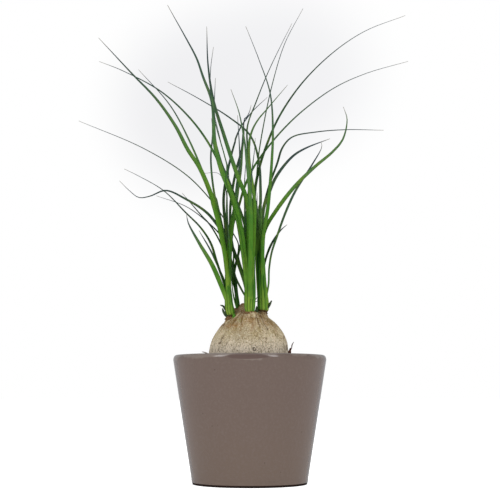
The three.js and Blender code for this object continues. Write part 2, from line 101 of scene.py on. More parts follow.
# Each tuft has a stem of rolled leaf feet, as (x, y, z, radius) stations, and its
# blades: width; fullness, the power that the run along the blade is raised to
# before its width is read, so that it keeps its width for longer above 1 and
# loses it sooner below; turn at the foot and at the tip away from showing the
# broad side to the front; depth y at the foot, halfway and at the tip; how dark
# it is, partly as painted shade on blades that lie in shade, with a minus sign on
# a blade painted as sunlit, which stays green nearly to its tip; and the route
# as (x, z) points seen from the front in the plane y = 0. Every second blade
# turns to the other side, so that some show their broad side from wherever the
# plant is seen.
SHOOTS = {
    "shoot_left": {"stem": [(-17.2, -4.6, 151, 3.2), (-17.9, -4.4, 154.4, 4),
        (-18.6, -4, 158, 4.1), (-19.3, -4, 165, 3.5), (-20.3, -4, 185, 2.5),
        (-20.8, -4, 204, 1.2)], "blades": [
        (4.3, 1, (8, 30), (-5, -20, -60), 0.2, [(-19, 160), (-24.1, 174), (-34.4, 198.4),
         (-46.8, 219.4), (-57.1, 238.6), (-59, 247.7)]),
        (3.2, 1, (-42, -72), (-4, -2, -14), 0.9, [(-18.5, 165), (-24.3, 183), (-30.8, 201.8),
         (-36.3, 219.1), (-45.4, 233.5), (-60.5, 248.9), (-80.4, 268.9), (-104.3, 283.1),
         (-117.3, 289.6)]),
        (2.8, 2.1, (62, 60), (-3, 6, 26), 1, [(-18.5, 165), (-24.2, 186), (-29.3, 196.9),
         (-36.3, 212.2), (-47.3, 231.6)]),
        (4.8, 1, (-10, -35), (-6, -18, -48), 0.15, [(-19, 160), (-21.4, 199.8), (-26.2, 227.4),
         (-32, 251.4), (-38.6, 271.5), (-47.3, 291.1), (-58.1, 307.7), (-70.1, 330.7),
         (-88.3, 356.6), (-110.4, 380), (-143.2, 415.7)]),
        (3.4, 1, (35, 62), (-4, -2, 16), 0.4, [(-19, 160), (-22.9, 199.7), (-26.9, 229.3),
         (-31.7, 251.1), (-44.6, 287.5), (-57, 316.8), (-74.8, 349.9), (-105, 384.8)]),
        (2.6, 2.2, (-58, -62), (-3, 4, 22), 0.85, [(-19.5, 170), (-21.7, 190), (-24.3, 211.7),
         (-36.2, 235.2), (-46.2, 246.7), (-63.1, 266.8)]),
        (3.4, 1, (40, 66), (-1.5, 30, 48), 0.7, [(-19, 168), (-17.5, 209.7), (-15.7, 234.5),
         (-10.7, 251.4), (-4.6, 272.4), (3.4, 290.2), (13.4, 305.1), (30.4, 325.9), (50.3, 345.3),
         (80.1, 367.3), (109.9, 381.1), (149.6, 392.9)]),
        (3.8, 1.8, (-50, -62), (-5, 10, 44), 0.8, [(-19.6, 175), (-18.7, 234.6), (-18.2, 257.5),
         (-13.6, 286.4), (-7.9, 308.5), (-6.1, 329.6), (-4.8, 337.6), (-2.9, 339.1), (-0.7, 343.1),
         (1.3, 350.6)]),
        (2.4, 1, (50, 66), (-4, -14, -34), 0.7, [(-19.1, 178), (-18.7, 214.7), (-20.4, 237.6),
         (-20.9, 267.6)]),
        (4.8, 1, (-15, -40), (-5, -2, 16), -0.3, [(-19.2, 168.9), (-19.3, 196.4), (-18.5, 219.1),
         (-16.4, 238.9), (-14.4, 250.4), (-12.3, 264.2), (-10.8, 275.2), (-9.2, 284.4),
         (-8, 294.5), (-7.3, 304.7), (-5.9, 317), (-5.3, 325.4), (-5.7, 335)]),
    ]},
    "shoot_back_left": {"stem": [(-10.4, 10, 156.6, 2), (-10.9, 10, 160, 2.1),
        (-11.6, 10, 166, 1.9), (-12.6, 10, 175, 1.6), (-13.4, 11, 190, 1)], "blades": [
        (3.8, 1.4, (60, 62), (10, 28, 62), 0.75, [(-12, 166), (-13.3, 185.1), (-17.1, 201.9),
         (-23.3, 224.7), (-28.1, 244.8), (-33.3, 269.8), (-36.1, 299.7), (-34.6, 321.7),
         (-32.4, 376.7)]),
        (4.4, 1, (-50, -60), (10, 24, 70), 0.95, [(-12, 165), (-13.6, 176), (-18.2, 190.9),
         (-21, 209.8), (-23, 234.7), (-24.8, 261.6), (-20.6, 289.5), (-10.2, 325.6), (1.8, 343.6),
         (16.4, 358.1)]),
        (3.2, 1, (40, 62), (10, 36, 78), 0.7, [(-12.5, 170), (-14.3, 190), (-9.8, 211.7),
         (-5, 232), (-4.4, 248), (-4.8, 274.6), (-3.2, 303.6)]),
        (2.2, 1, (-50, -58), (11, 30, 68), 0.6, [(-13.1, 175), (-15.2, 199.9), (-15.2, 213.8),
         (-18.5, 234.7), (-18.3, 256.7)]),
        (2.4, 1, (66, 72), (11, 40, 88), 0.85, [(-13.5, 178), (-17.7, 204.9), (-21.3, 234.7),
         (-21, 267.6), (-19.5, 284.9), (-25.4, 307.8), (-35.1, 349.4)]),
        (2, 1, (-60, -70), (11, 30, 62), 0.9, [(-13.1, 178), (-17.3, 204.8), (-21.2, 234.7),
         (-21.5, 261.7), (-24.6, 279.5), (-30.4, 285.8), (-43.3, 285.3)]),
        (1.6, 1, (40, 60), (9, 8, 8), 0.6, [(-12.6, 160), (-14.6, 168), (-15.8, 175), (-16.6, 183),
         (-17, 192)]),
    ]},
    "shoot_centre": {"stem": [(0.1, -11, 153.6, 2.8), (0.1, -11, 156, 4.1), (0, -10.5, 159.5, 4.7),
        (0.1, -10, 167, 5), (0.4, -10, 178, 4.8), (0.1, -10, 196, 4.3), (-0.4, -10, 214, 3.7),
        (-0.8, -10, 232, 2.2), (-1, -10, 246, 0.9)], "blades": [
        (5.4, 1, (5, 60), (-12, -36, -78), 0.4, [(-1, 162), (-4.5, 199.8), (-9, 234.7),
         (-17.5, 265.7), (-26.4, 287.8), (-33.2, 314.8), (-34.7, 344.8), (-36.7, 357.4),
         (-44.1, 377.2), (-50.3, 395.4), (-60.9, 416.1), (-72.9, 438.0), (-78.2, 447.9)]),
        (3.6, 1, (-36, -46), (-11, -20, -32), 0.6, [(-1, 168), (-5.9, 214.6), (-10.1, 239.8),
         (-14.6, 261.8), (-17.6, 272.2), (-22.1, 281.4), (-25.9, 291.8), (-29.3, 303.3),
         (-33.3, 317.8), (-36.1, 338)]),
        (4.3, 1.3, (18, 35), (-11, -30, -58), 0.42, [(-1, 162), (-1.9, 190), (-1.8, 214.8),
         (-1.3, 234.8), (-1.5, 247.8), (-2.7, 257.8), (-4.9, 266.6), (-7.4, 272.6), (-10.4, 279.4),
         (-13.5, 288.5), (-18.2, 302.3), (-24.4, 321.8), (-34.3, 354.8), (-39.5, 389.8),
         (-40.8, 426.8)]),
        (2.2, 1.8, (-60, -72), (-12, -46, -96), 0.6, [(-1.1, 180), (-9.9, 236), (-19.8, 268),
         (-22.3, 281), (-21, 288.6), (-24.4, 304), (-31.7, 330.1), (-36.7, 359.9), (-36.9, 384.8),
         (-34.4, 406.8)]),
        (4.6, 1, (0, 68), (-13, -46, -98), -0.38, [(0, 162), (0.7, 249.8), (-1.6, 283),
         (-3.2, 297), (-4.4, 311), (-6.3, 323), (-10.3, 343.8), (-17.8, 365.8)]),
        (4.2, 1, (-30, -62), (-10, -20, -46), 0.6, [(-1.5, 172), (-7.4, 219.7), (-13.2, 255),
         (-12.6, 265), (-11.5, 276), (-9.9, 288), (-9.2, 301), (-11.5, 340.9)]),
        (3.6, 1.4, (24, 48), (-11, -26, -40), -0.15, [(1, 165), (4.1, 229.8), (4.3, 257.8),
         (2.7, 271.8), (0, 289.8), (-1.1, 304.8), (-0.6, 314), (2.6, 326.7), (8, 336.6),
         (15.2, 345.4), (35.6, 370)]),
        (2.8, 1, (-40, -60), (-12, -34, -76), 0.55, [(-0.3, 190), (1.6, 239.8), (1.4, 270),
         (2.1, 286.2), (4.4, 306.9), (5.2, 319)]),
        (3.4, 1, (32, 68), (-10, -3, 12), 1, [(0.5, 170), (2.8, 249.8), (7.8, 284.8),
         (15.9, 311.7), (28, 339.6), (50.1, 372.4), (80.1, 402.3), (109.8, 422.5),
         (147.5, 437.5)]),
        (2.1, 1, (-56, -68), (-10, -4, 24), 0.9, [(0, 172), (3.7, 239.8), (5.9, 269.8),
         (8.1, 299.7), (13.7, 334.7), (21.6, 371.7), (33, 409.7), (50.5, 444.4)]),
        (3.4, 1, (42, 64), (-9, 12, 46), 0.6, [(-2, 172), (-5.7, 200), (-8.6, 219.6),
         (-12.5, 244.6), (-17.6, 264.5), (-27.5, 291.5), (-40.4, 316.5), (-58.5, 340.4),
         (-84.6, 364.2), (-120.6, 384), (-142.4, 392.8)]),
        (2.6, 1.6, (-62, -74), (-9, 19, 34), 0.9, [(-2.7, 182), (-10.9, 207.8), (-10.9, 219.1),
         (-15.7, 228.7), (-25, 243.8), (-38, 261.8), (-60.2, 284.3), (-100.4, 309.4),
         (-160.6, 335.4)]),
        (3.6, 1, (22, 68), (-8, 12, 8), 0.95, [(-1.6, 165), (-4.6, 181), (-8.3, 193),
         (-12.6, 205.4), (-16.4, 215.7), (-26, 230.4), (-40.2, 248.2), (-60.4, 261.3),
         (-78.4, 269.1), (-93.2, 263.7), (-103.4, 262.5), (-112.6, 269.3), (-121.6, 278.3)]),
        (3.2, 1, (-50, -74), (-8, 11, 24), 0.95, [(-2, 166), (-8.2, 176.7), (-13.8, 188.6),
         (-17.9, 204.9), (-22.4, 216.6), (-27.7, 227.3), (-43.6, 242.8), (-60.2, 254.4),
         (-87.1, 264.2)]),
        (4, 1, (20, 30), (-8, -5, -2), 0.5, [(3, 164.3), (3.2, 191.9), (3.2, 214.7), (2.7, 233.1),
         (1.8, 245.1), (0.4, 256.1), (-0.5, 267.1)]),
        (4.6, 1, (-8, -20), (-12, -16, -24), 0.55, [(-2.5, 162.5), (-3.2, 191.9), (-3.3, 219.3),
         (-2.6, 242.3), (-1.6, 259.8), (-0.8, 276.3), (-1.5, 292.9)]),
        (3.6, 1, (35, 50), (-9, -14, -22), 0.5, [(-0.8, 166), (-1.2, 190), (-1.2, 210),
         (-2.2, 224), (-5.2, 238), (-8.2, 247.5), (-12, 258), (-16.4, 270), (-21.1, 283.2),
         (-25, 291.9), (-27.8, 300.8), (-30.8, 312), (-33.6, 325)]),
    ]},
    "shoot_right": {"stem": [(12, -3.2, 155.4, 4), (12.2, -2.8, 158.4, 5.1),
        (12.3, -2.2, 163, 5.2), (11.7, -2, 172, 4.8), (10.8, -2, 184, 4.3), (10.1, -2, 200, 4),
        (9.9, -2, 214, 3), (10.4, -2, 232, 1.1)], "blades": [
        (3.2, 1, (46, 66), (-1, 12, 46), 0.8, [(10, 172), (7.5, 204.8), (5.2, 221.5), (2.9, 235.7),
         (0.9, 249.8), (-0.5, 274.9), (-1.5, 304.9), (-2, 329.8), (6.2, 353.7), (16.3, 379.6),
         (27.2, 403.6), (40, 429.7)]),
        (3.4, 1, (-30, -55), (-4, -12, -30), 0.2, [(11, 166), (11.9, 199.9), (11.5, 229.9),
         (10.3, 262), (9.9, 286), (9.1, 300)]),
        (4.2, 0.75, (30, 68), (-1, 34, 50), 0.8, [(11.5, 170), (9, 219.8), (9.7, 269.9),
         (8, 297.9), (0.2, 321.4), (-18.3, 337.9), (-48.3, 356.9), (-77.3, 372.9)]),
        (4, 0.8, (-15, -64), (-3, -30, -84), 0.5, [(11.9, 168), (12.6, 224.8), (16.9, 251.8),
         (19.6, 279.9), (21, 300), (21.9, 324.9), (19.4, 361.9), (9, 394), (-3.8, 426.9)]),
        (4, 1.7, (58, 66), (-1, 16, 30), 1, [(11.4, 175), (13, 249.7), (17.9, 271.7),
         (26.1, 294.8), (31, 309.7), (39.9, 319.6), (61.8, 324.4), (89.7, 326.8), (125.7, 326.5)]),
        (5, 1.6, (-50, -62), (-1, 6, 12), 1, [(11.8, 180), (13.5, 252.5), (18.7, 267.5),
         (25.6, 282.9), (40.5, 301.5), (52.3, 309.1), (75.1, 318.4)]),
        (4.1, 1.5, (32, 20), (-3, -14, -38), -0.2, [(12, 168), (11.8, 214.9), (14.1, 231.6),
         (25.8, 251.7), (42.6, 273.5), (60.4, 291.1), (78.2, 306.4), (87.1, 317.7), (91.4, 336.9),
         (88, 349)]),
        (2.8, 2.5, (-42, -46), (-3, -6, -18), 0.85, [(14.5, 164), (17.6, 182), (18, 195),
         (20.4, 210.8), (25, 224.8), (33.2, 247.7), (42.4, 268), (58.3, 293.5), (67.5, 310.8),
         (66.9, 315)]),
        (3, 2.2, (46, 48), (-2, 4, 16), 0.8, [(11.8, 182), (13.7, 199.6), (19.3, 216.6),
         (28.4, 231.2), (34.8, 237.2)]),
        (4.4, 1, (-20, -40), (-2, -6, -10), 0.15, [(11.5, 172), (11.5, 199.9), (10.7, 223.8),
         (9.6, 236.3), (7.8, 246.2), (6.1, 254.8), (4.3, 262.6), (2.9, 268.1), (2, 275.5),
         (1.5, 282.4)]),
        (4.8, 1, (10, 30), (-4, -3.5, -1), 0.15, [(8.6, 173.5), (8, 191.9), (7.4, 205.6),
         (6.9, 219.4), (6.6, 233.2), (6.5, 245.2), (6.6, 256.2), (6.9, 267.2)]),
    ]},
}

# Dried and curled stubs of old leaves at the foot of three tufts.
STUBS = {
    "shoot_left": [
        [(-19, -6, 150.4, 1.3), (-21.8, -6.6, 152.4, 1.4), (-23.9, -6.8, 155.4, 1.2),
         (-25.1, -6.6, 158.6, 0.6)],
        [(-21.6, -5, 156.6, 1.1), (-23, -5.4, 159, 1.1), (-24.8, -5.6, 161, 0.9),
         (-27.2, -5.6, 161.7, 0.4)],
    ],
    "shoot_right": [
        [(14, -3, 158, 1.6), (16.2, -3.6, 159.8, 1.6), (17.9, -4, 162, 1.3),
         (20.1, -4.4, 166, 0.6)],
    ],
    "shoot_centre": [
        [(5.4, -10.4, 152.6, 1.6), (6, -10, 155.6, 1.7), (6.2, -9.6, 158.4, 1),
         (6.3, -9.4, 160.6, 0.4)],
    ],
}
# Hairs torn from leaf margins, and a green bud beside the left tuft.
HAIRS = {
    "shoot_centre": [
        [(4.4, -11, 165.6, 0.3), (5.6, -10.6, 167, 0.35), (7.6, -10, 169.6, 0.2)],
        [(4.2, -11, 164.8, 0.35), (6.2, -11.4, 164.6, 0.3), (7, -11.6, 165.4, 0.15)],
    ],
}
BUD = [(-14.8, -9.2, 147.4, 0.8), (-14.4, -9.6, 149.2, 1.7), (-14.2, -9, 151.4, 1.7),
       (-14.6, -8, 153.4, 0.9)]

# The rolled leaf feet round each stem: the angle about +Z where each begins (the
# front is 270), how far it turns on its way up, and how dark it is.
SHEATHS = {
    "shoot_left": [(20, 20, 0.7), (110, 20, 0.6), (186, 14, 0.05), (238, 12, 0.15), (278, 8, 0.3),
                   (316, -16, 0.6)],
    "shoot_back_left": [(30, 20, 0.9), (120, 20, 0.8), (200, 10, 0.8), (280, 10, 0.95)],
    "shoot_centre": [(50, 10, 0.6), (128, 10, 0.5), (184, 14, 0.22), (238, 16, 0.05),
                     (268, 8, 0.25), (298, 14, 0.5)],
    "shoot_right": [(66, 10, 0.6), (150, 8, 0.75), (216, 20, 0.35), (250, 12, 0.15),
                    (286, 4, 0.35), (316, -14, 0.0)],
}

# The bulb's outline from its underside to its top: radius and height.
BULB_PROFILE = [
    (0, 76), (13, 78.5), (24.5, 86), (32, 97), (35.6, 109), (36.3, 118), (35.5, 126),
    (33.1, 132.5), (28.7, 139.5), (23.9, 145), (18.6, 149.4), (13.4, 153), (8, 155.8), (0, 157),
]
# Necks that carry the tufts: x, y, foot height, foot radius, top height, top
# radius and how torn the bark is there.
NECKS = [
    (-17.4, -4, 144.6, 6.4, 150.6, 4.2, 1),
    (-11.5, 9, 146, 11, 159.4, 3.6, 1),
    (0, -9, 149, 13, 155.6, 5.4, 1),
    (10.9, -2, 146, 8, 156.4, 4, 0.45),
    (-5.2, 7, 150, 11, 164.4, 2.2, 1),
]
# Patches of tone in the bark: centre (x, y, z), half size, share at the centre and tone.
BARK_TINT_PATCHES = [
    ((-7.6, -33, 134), (13, 20, 11), 0.5, "#86744E"),
    ((-0.7, -17, 149.6), (3.6, 8, 2.2), 0.8, "#8A5230"),
    ((-6, -2, 157.5), (6, 12, 5), 0.75, "#865634"),
    ((-14.7, -20, 142), (9, 14, 4), 0.55, "#B48A58"),
    ((-8.3, -20, 147.2), (4.5, 12, 3.4), 0.55, "#8C8C50"),
]
# Roots: degrees about +Z, height where they leave, reach and depth.
ROOTS = [(20, 92, 41, 58), (95, 88, 36, 40), (165, 91, 42, 62), (238, 87, 35, 36),
         (305, 90, 40, 50)]
# Marks on the front of the bulb, as seen from the front: kind, reach, points (x, z).
BULB_MARKS = [
    ("scar", 0.42, [(-23.6, 134.6), (-24.4, 132.8), (-25.9, 131), (-26.4, 129), (-28, 126.8)]),
    ("scar", 0.45, [(-20.6, 128), (-21.4, 126)]),
    ("scar", 0.8, [(-24.6, 143.4), (-23.2, 144.6)]),
    ("scar", 0.45, [(6.6, 153.4), (5.4, 151.2), (5.6, 149)]),
    ("scar", 0.5, [(9, 152.8), (10, 151.4), (12, 149.8)]),
    ("scar", 0.4, [(31.2, 133.6), (32, 131)]),
    ("scar", 0.5, [(33.6, 125.6), (34.4, 121.4)]),
    ("scar", 0.35, [(-10, 131.5), (-10.6, 130.4)]),
    ("scar", 0.35, [(15.4, 132.6), (16.2, 131.4)]),
    ("scar", 0.3, [(-4.6, 126.4), (-5.2, 124.6)]),
    ("scar", 0.35, [(-10.2, 156.4), (-7.6, 155.6), (-5, 155.6)]),
    ("rust", 1.6, [(-10, 158), (-5.2, 157.2)]),
    ("rust", 1.7, [(-1, 150.4), (2.6, 150)]),
    ("scar", 0.4, [(9.6, 153), (12.4, 146.5), (16.4, 139.6)]),
    ("scar", 0.4, [(6, 151), (8, 146), (9.6, 141.6)]),
    ("rust", 3, [(-8, 150), (-3, 147), (5, 146.6)]),
    ("rust", 2.4, [(-23, 142.4), (-18, 143), (-12.5, 143.4)]),
    ("rust", 1.8, [(8.8, 152.6), (12.6, 148.6), (16, 144)]),
    ("rust", 2.2, [(4, 150), (3, 143), (1, 138)]),
    ("rust", 2, [(-5, 147), (-9, 138)]),
    ("rust", 1.2, [(18, 147), (22, 142), (25, 137)]),
]
# Torn collars of bark round the feet of the tufts: x, y, foot height, radius at
# the foot and at the top, height.
COLLARS = [
    (-17.5, -4.4, 148.6, 5.8, 4.5, 4.2),
    (-11.7, 10, 157, 4.4, 3.2, 4),
    (-0.6, -9.8, 153, 8, 6, 3),
    (11.4, -2.8, 154.1, 5.6, 4.9, 1),
]


# ------------------------------------------------------------------ helpers

def linear(hex_colour):
    """An sRGB hex colour as linear RGBA."""
    channels = []
    for i in (1, 3, 5):
        value = int(hex_colour[i:i + 2], 16) / 255
        channels.append(value / 12.92 if value <= 0.04045 else ((value + 0.055) / 1.055) ** 2.4)
    return (*channels, 1.0)


def node(tree, kind, inputs=(), out=0, **settings):
    """Add one node with its settings, and give one of its outputs, or the node
    itself for None. A short kind is a shader node's, and what follows a colon is
    its operation. The inputs come in their order or by key: each is a socket to
    link from, an sRGB hex colour or a plain value."""
    kind, _, operation = kind.partition(":")
    if not kind.startswith(("Geometry", "Function", "NodeGroup")):
        kind = "ShaderNode" + kind
    made = tree.nodes.new(kind)
    if operation:
        made.operation = operation
    for name, value in settings.items():
        setattr(made, name, value)
    for key, given in inputs.items() if isinstance(inputs, dict) else enumerate(inputs):
        if isinstance(given, bpy.types.NodeSocket):
            tree.links.new(given, made.inputs[key])
        elif isinstance(given, str) and given.startswith("#"):
            made.inputs[key].default_value = linear(given)
        else:
            made.inputs[key].default_value = given
    return made if out is None or not made.outputs else made.outputs[out]


def link_in(thing):
    """Put an object in the scene."""
    bpy.context.scene.collection.objects.link(thing)
    return thing


def smooth_mesh(name, vertices, faces, cleaned=True):
    """A mesh from points in millimetres, shaded smooth and, where it is cleaned,
    with doubled points merged and its faces outwards."""
    mesh = bpy.data.meshes.new(name)
    mesh.from_pydata([Vector(point) * MM for point in vertices], [], faces)
    if cleaned:
        bm = bmesh.new()
        bm.from_mesh(mesh)
        bmesh.ops.remove_doubles(bm, verts=bm.verts, dist=1e-7)
        bmesh.ops.recalc_face_normals(bm, faces=bm.faces)
        bm.to_mesh(mesh)
        bm.free()
    mesh.polygons.foreach_set("use_smooth", [True] * len(mesh.polygons))
    return mesh


def place(name, mesh, replaced):
    """Put a finished mesh in the scene, riding on the part in place of a node."""
    piece = link_in(bpy.data.objects.new(name, mesh))
    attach(piece, "root")
    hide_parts(replaced)


def turns(sides):
    """The angles of the points of a ring."""
    return [2 * math.pi * k / sides for k in range(sides)]


def revolve(profile, sides, bend=None):
    """Rings of a profile of (radius, height) turned about +Z."""
    rings = []
    for radius, height in profile:
        ring = [(radius * math.cos(angle), radius * math.sin(angle), height)
                for angle in turns(sides)]
        rings.append([bend(*point) for point in ring] if bend else ring)
    return rings


def skin(rings, ends="capped"):
    """Points and faces over rings of one size, their ends open, capped or joined."""
    count, sides = len(rings), len(rings[0])
    faces = []
    for r in range(count if ends == "joined" else count - 1):
        low, high = r * sides, (r + 1) % count * sides
        for k in range(sides):
            after = (k + 1) % sides
            faces.append((low + k, low + after, high + after, high + k))
    if ends == "capped":
        faces.append(tuple(range(sides - 1, -1, -1)))
        faces.append(tuple(range((count - 1) * sides, count * sides)))
    return [point for ring in rings for point in ring], faces


def smoothstep(low, high, value):
    t = min(max((value - low) / (high - low), 0), 1)
    return t * t * (3 - 2 * t)


def running(points):
    """The length run along a line at each of its points."""
    lengths = [0.0]
    for before, after in zip(points, points[1:]):
        lengths.append(lengths[-1] + (Vector(after) - Vector(before)).length)
    return lengths


def spline_through(points, count):
    """Points spaced along a centripetal Catmull-Rom curve, as for the solids."""
    points = [Vector(point) for point in points]
    ends = [points[0] * 2 - points[1], *points, points[-1] * 2 - points[-2]]
    dense = []
    for i in range(1, len(ends) - 2):
        p0, p1, p2, p3 = ends[i - 1:i + 3]
        t1 = max((p1 - p0).length, 1e-6) ** 0.5
        t2 = t1 + max((p2 - p1).length, 1e-6) ** 0.5
        t3 = t2 + max((p3 - p2).length, 1e-6) ** 0.5
        for step in range(24):
            t = t1 + (t2 - t1) * step / 24
            a1 = p0.lerp(p1, t / t1)
            a2 = p1.lerp(p2, (t - t1) / (t2 - t1))
            a3 = p2.lerp(p3, (t - t2) / (t3 - t2))
            b1 = a1.lerp(a2, t / t2)
            b2 = a2.lerp(a3, (t - t1) / (t3 - t1))
            dense.append(b1.lerp(b2, (t - t1) / (t2 - t1)))
    dense.append(points[-1])
    lengths = running(dense)
    spaced = []
    j = 0
    for i in range(count):
        target = lengths[-1] * i / (count - 1)
        while j < len(lengths) - 2 and lengths[j + 1] < target:
            j += 1
        share = (target - lengths[j]) / max(lengths[j + 1] - lengths[j], 1e-9)
        spaced.append(dense[j].lerp(dense[j + 1], min(max(share, 0), 1)))
    return spaced


def rod_rings(stations, sides, count, lobes=None):
    """Rings of a round rod along (x, y, z, radius) stations."""
    centres = spline_through([station[:3] for station in stations], count)
    places = running([station[:3] for station in stations])
    rings = []
    for i, centre in enumerate(centres):
        share = places[-1] * i / (count - 1)
        j = max(k for k in range(len(places) - 1) if places[k] <= share + 1e-9)
        t = (share - places[j]) / (places[j + 1] - places[j])
        radius = stations[j][3] + (stations[j + 1][3] - stations[j][3]) * smoothstep(0, 1, t)
        along = (centres[min(i + 1, count - 1)] - centres[max(i - 1, 0)]).normalized()
        side = Vector((0, 1, 0)).cross(along).normalized()
        front = along.cross(side)
        ring = []
        for angle in turns(sides):
            reach = radius * (lobes(angle, i / (count - 1)) if lobes else 1)
            ring.append(centre + side * reach * math.cos(angle) + front * reach * math.sin(angle))
        rings.append(ring)
    return rings


def rod(name, stations, sides, count, material, lobes=None):
    """A closed rod in one material."""
    mesh = smooth_mesh(name, *skin(rod_rings(stations, sides, count, lobes)))
    mesh.materials.append(material)
    return mesh


def joined(name, meshes):
    """One mesh out of several, with their attributes and materials kept."""
    objects = [link_in(bpy.data.objects.new(mesh.name, mesh)) for mesh in meshes]
    with bpy.context.temp_override(active_object=objects[0], object=objects[0],
                                   selected_objects=objects,
                                   selected_editable_objects=objects):
        bpy.ops.object.join()
    mesh = objects[0].data
    bpy.data.objects.remove(objects[0])
    mesh.name = name
    return mesh


def paint(mesh, name, values):
    """Keep one number for each point, for the materials to read."""
    layer = mesh.attributes.new(name, "FLOAT", "POINT")
    layer.data.foreach_set("value", values)


# ------------------------------------------------------------------ materials

PER_MM = (1000, 1000, 1000)
SMOOTH = {"interpolation_type": "SMOOTHSTEP"}
# A colour mix: its settings and its sockets.
MIX = {"data_type": "RGBA", "out": 2}
SHARE, FIRST, SECOND = 0, 6, 7


def new_material(name):
    material = bpy.data.materials.new(name)
    material.use_nodes = True
    tree = material.node_tree
    tree.nodes.clear()
    return material, tree, node(tree, "TexCoord", out="Object")


def layered(tree, colour, layers):
    """Lay tones over a colour, one after the other. A layer is a share and its tone,
    or a pattern, the values where it starts and is full, its greatest share and tone."""
    for pattern, *spread, tone in layers:
        if spread:
            start, full, most = spread
            pattern = node(tree, "MapRange", [pattern, start, full, 0, most], **SMOOTH)
        colour = node(tree, "Mix", {SHARE: pattern, FIRST: colour, SECOND: tone}, **MIX)
    return colour


def finish(material, relief, strength, distance, surface):
    """End a material with a bump from a relief, its surface and the output."""
    tree = material.node_tree
    bump = node(tree, "Bump", {"Height": relief, "Strength": strength, "Distance": distance})
    shader = node(tree, "BsdfPrincipled", {"Normal": bump, **surface})
    node(tree, "OutputMaterial", {"Surface": shader})
    return material


def taupe_glaze():
    """Stoneware under a warm grey-brown gloss glaze, fired: an even colour, a
    trace browner near the foot, with a soft orange-peel in the gloss and a few iron
    specks; paler over the lip as a painted reflection, one red-brown lens on the
    front of the lip as a painted reflection, and the lowest 2 mm painted near black
    as the shadow where the foot meets the floor."""
    material, tree, coords = new_material("taupe_glazed_stoneware")
    where = node(tree, "Mapping", {"Vector": coords, "Scale": PER_MM})
    level = node(tree, "SeparateXYZ", [where], out=2)
    clouds = node(tree, "TexNoise", {
        "Vector": where, "Scale": 0.03, "Detail": 3, "Roughness": 0.6})
    height = node(tree, "Math:MULTIPLY_ADD", [clouds, 30, level])
    # Fine mottle of about 2 mm where the glaze boiled and healed.
    mottle = node(tree, "TexNoise", {
        "Vector": where, "Scale": 0.45, "Detail": 4, "Roughness": 0.7})
    # Iron specks about 0.6 mm across, one every 14 mm or so.
    specks = node(tree, "TexVoronoi", {"Vector": where, "Scale": 0.075, "Randomness": 1},
                  out="Distance")
    # A darker, redder lens painted over 35 mm on the front of the lip: a painted reflection.
    lip_reflection_lens = node(tree, "Mapping", {
        "Vector": where, "Location": (1.9 / 19, 68 / 12, -113.2 / 2.7),
        "Scale": (1 / 19, 1 / 12, 1 / 2.7)})
    lip_reflection_lens = node(tree, "VectorMath:LENGTH", [lip_reflection_lens], out="Value")
    # The lowest 2 mm are painted near black and without gloss: a painted shadow where the foot
    # meets the floor.
    foot_contact_shadow = node(tree, "MapRange", [level, 2.2, 1.8], **SMOOTH)
    colour = layered(tree, "#65554A", [
        (height, 5, 110, 1, "#63534B"),
        (mottle, 0.4, 0.8, 1, "#685951"),
        (specks, 0.06, 0.03, 0.35, "#2B211B"),
        # Paler over the lip: a painted reflection of the brighter room above.
        (height, 126.5, 129.5, 0.8, "#7B6F66"),
        # Painted reflection on the front of the lip.
        (lip_reflection_lens, 1.08, 0.85, 1, "#594740"),
        # Painted contact shadow along the foot.
        (foot_contact_shadow, "#231A16")])
    # Orange-peel of a few millimetres, too low to see except in the reflections.
    peel = node(tree, "TexNoise", {
        "Vector": where, "Scale": 0.22, "Detail": 2, "Roughness": 0.4})
    return finish(material, peel, 0.1, 0.0005, {
        "Base Color": colour, "IOR": 1.5, "Coat Roughness": 0.06, "Coat IOR": 1.5,
        "Roughness": node(tree, "MapRange", [mottle, 0.3, 0.7, 0.12, 0.17]),
        # The painted foot shadow takes no gloss.
        "Specular IOR Level": node(tree, "MapRange", [foot_contact_shadow, 0, 1, 0.5, 0]),
        "Coat Weight": node(tree, "MapRange", [foot_contact_shadow, 0, 1, 0.15, 0])})


def peat_soil():
    """Damp peat potting soil: nearly black brown, fibrous, quite dull."""
    material, tree, coords = new_material("damp_peat_soil")
    where = node(tree, "Mapping", {"Vector": coords, "Scale": PER_MM})
    drawn = node(tree, "Mapping", {"Vector": coords, "Scale": (1000, 250, 1000)})
    grains = node(tree, "TexNoise", {
        "Vector": where, "Scale": 0.9, "Detail": 6, "Roughness": 0.7})
    fibres = node(tree, "TexNoise", {"Vector": drawn, "Scale": 0.7, "Detail": 3})
    colour = layered(tree, "#2A1D14", [
        (grains, 0.35, 0.7, 1, "#5A4230"),
        (fibres, 0.62, 0.75, 1, "#7D5F42")])
    return finish(material, grains, 0.8, 0.001, {
        "Base Color": colour, "Roughness": 0.93, "IOR": 1.4, "Specular IOR Level": 0.25})


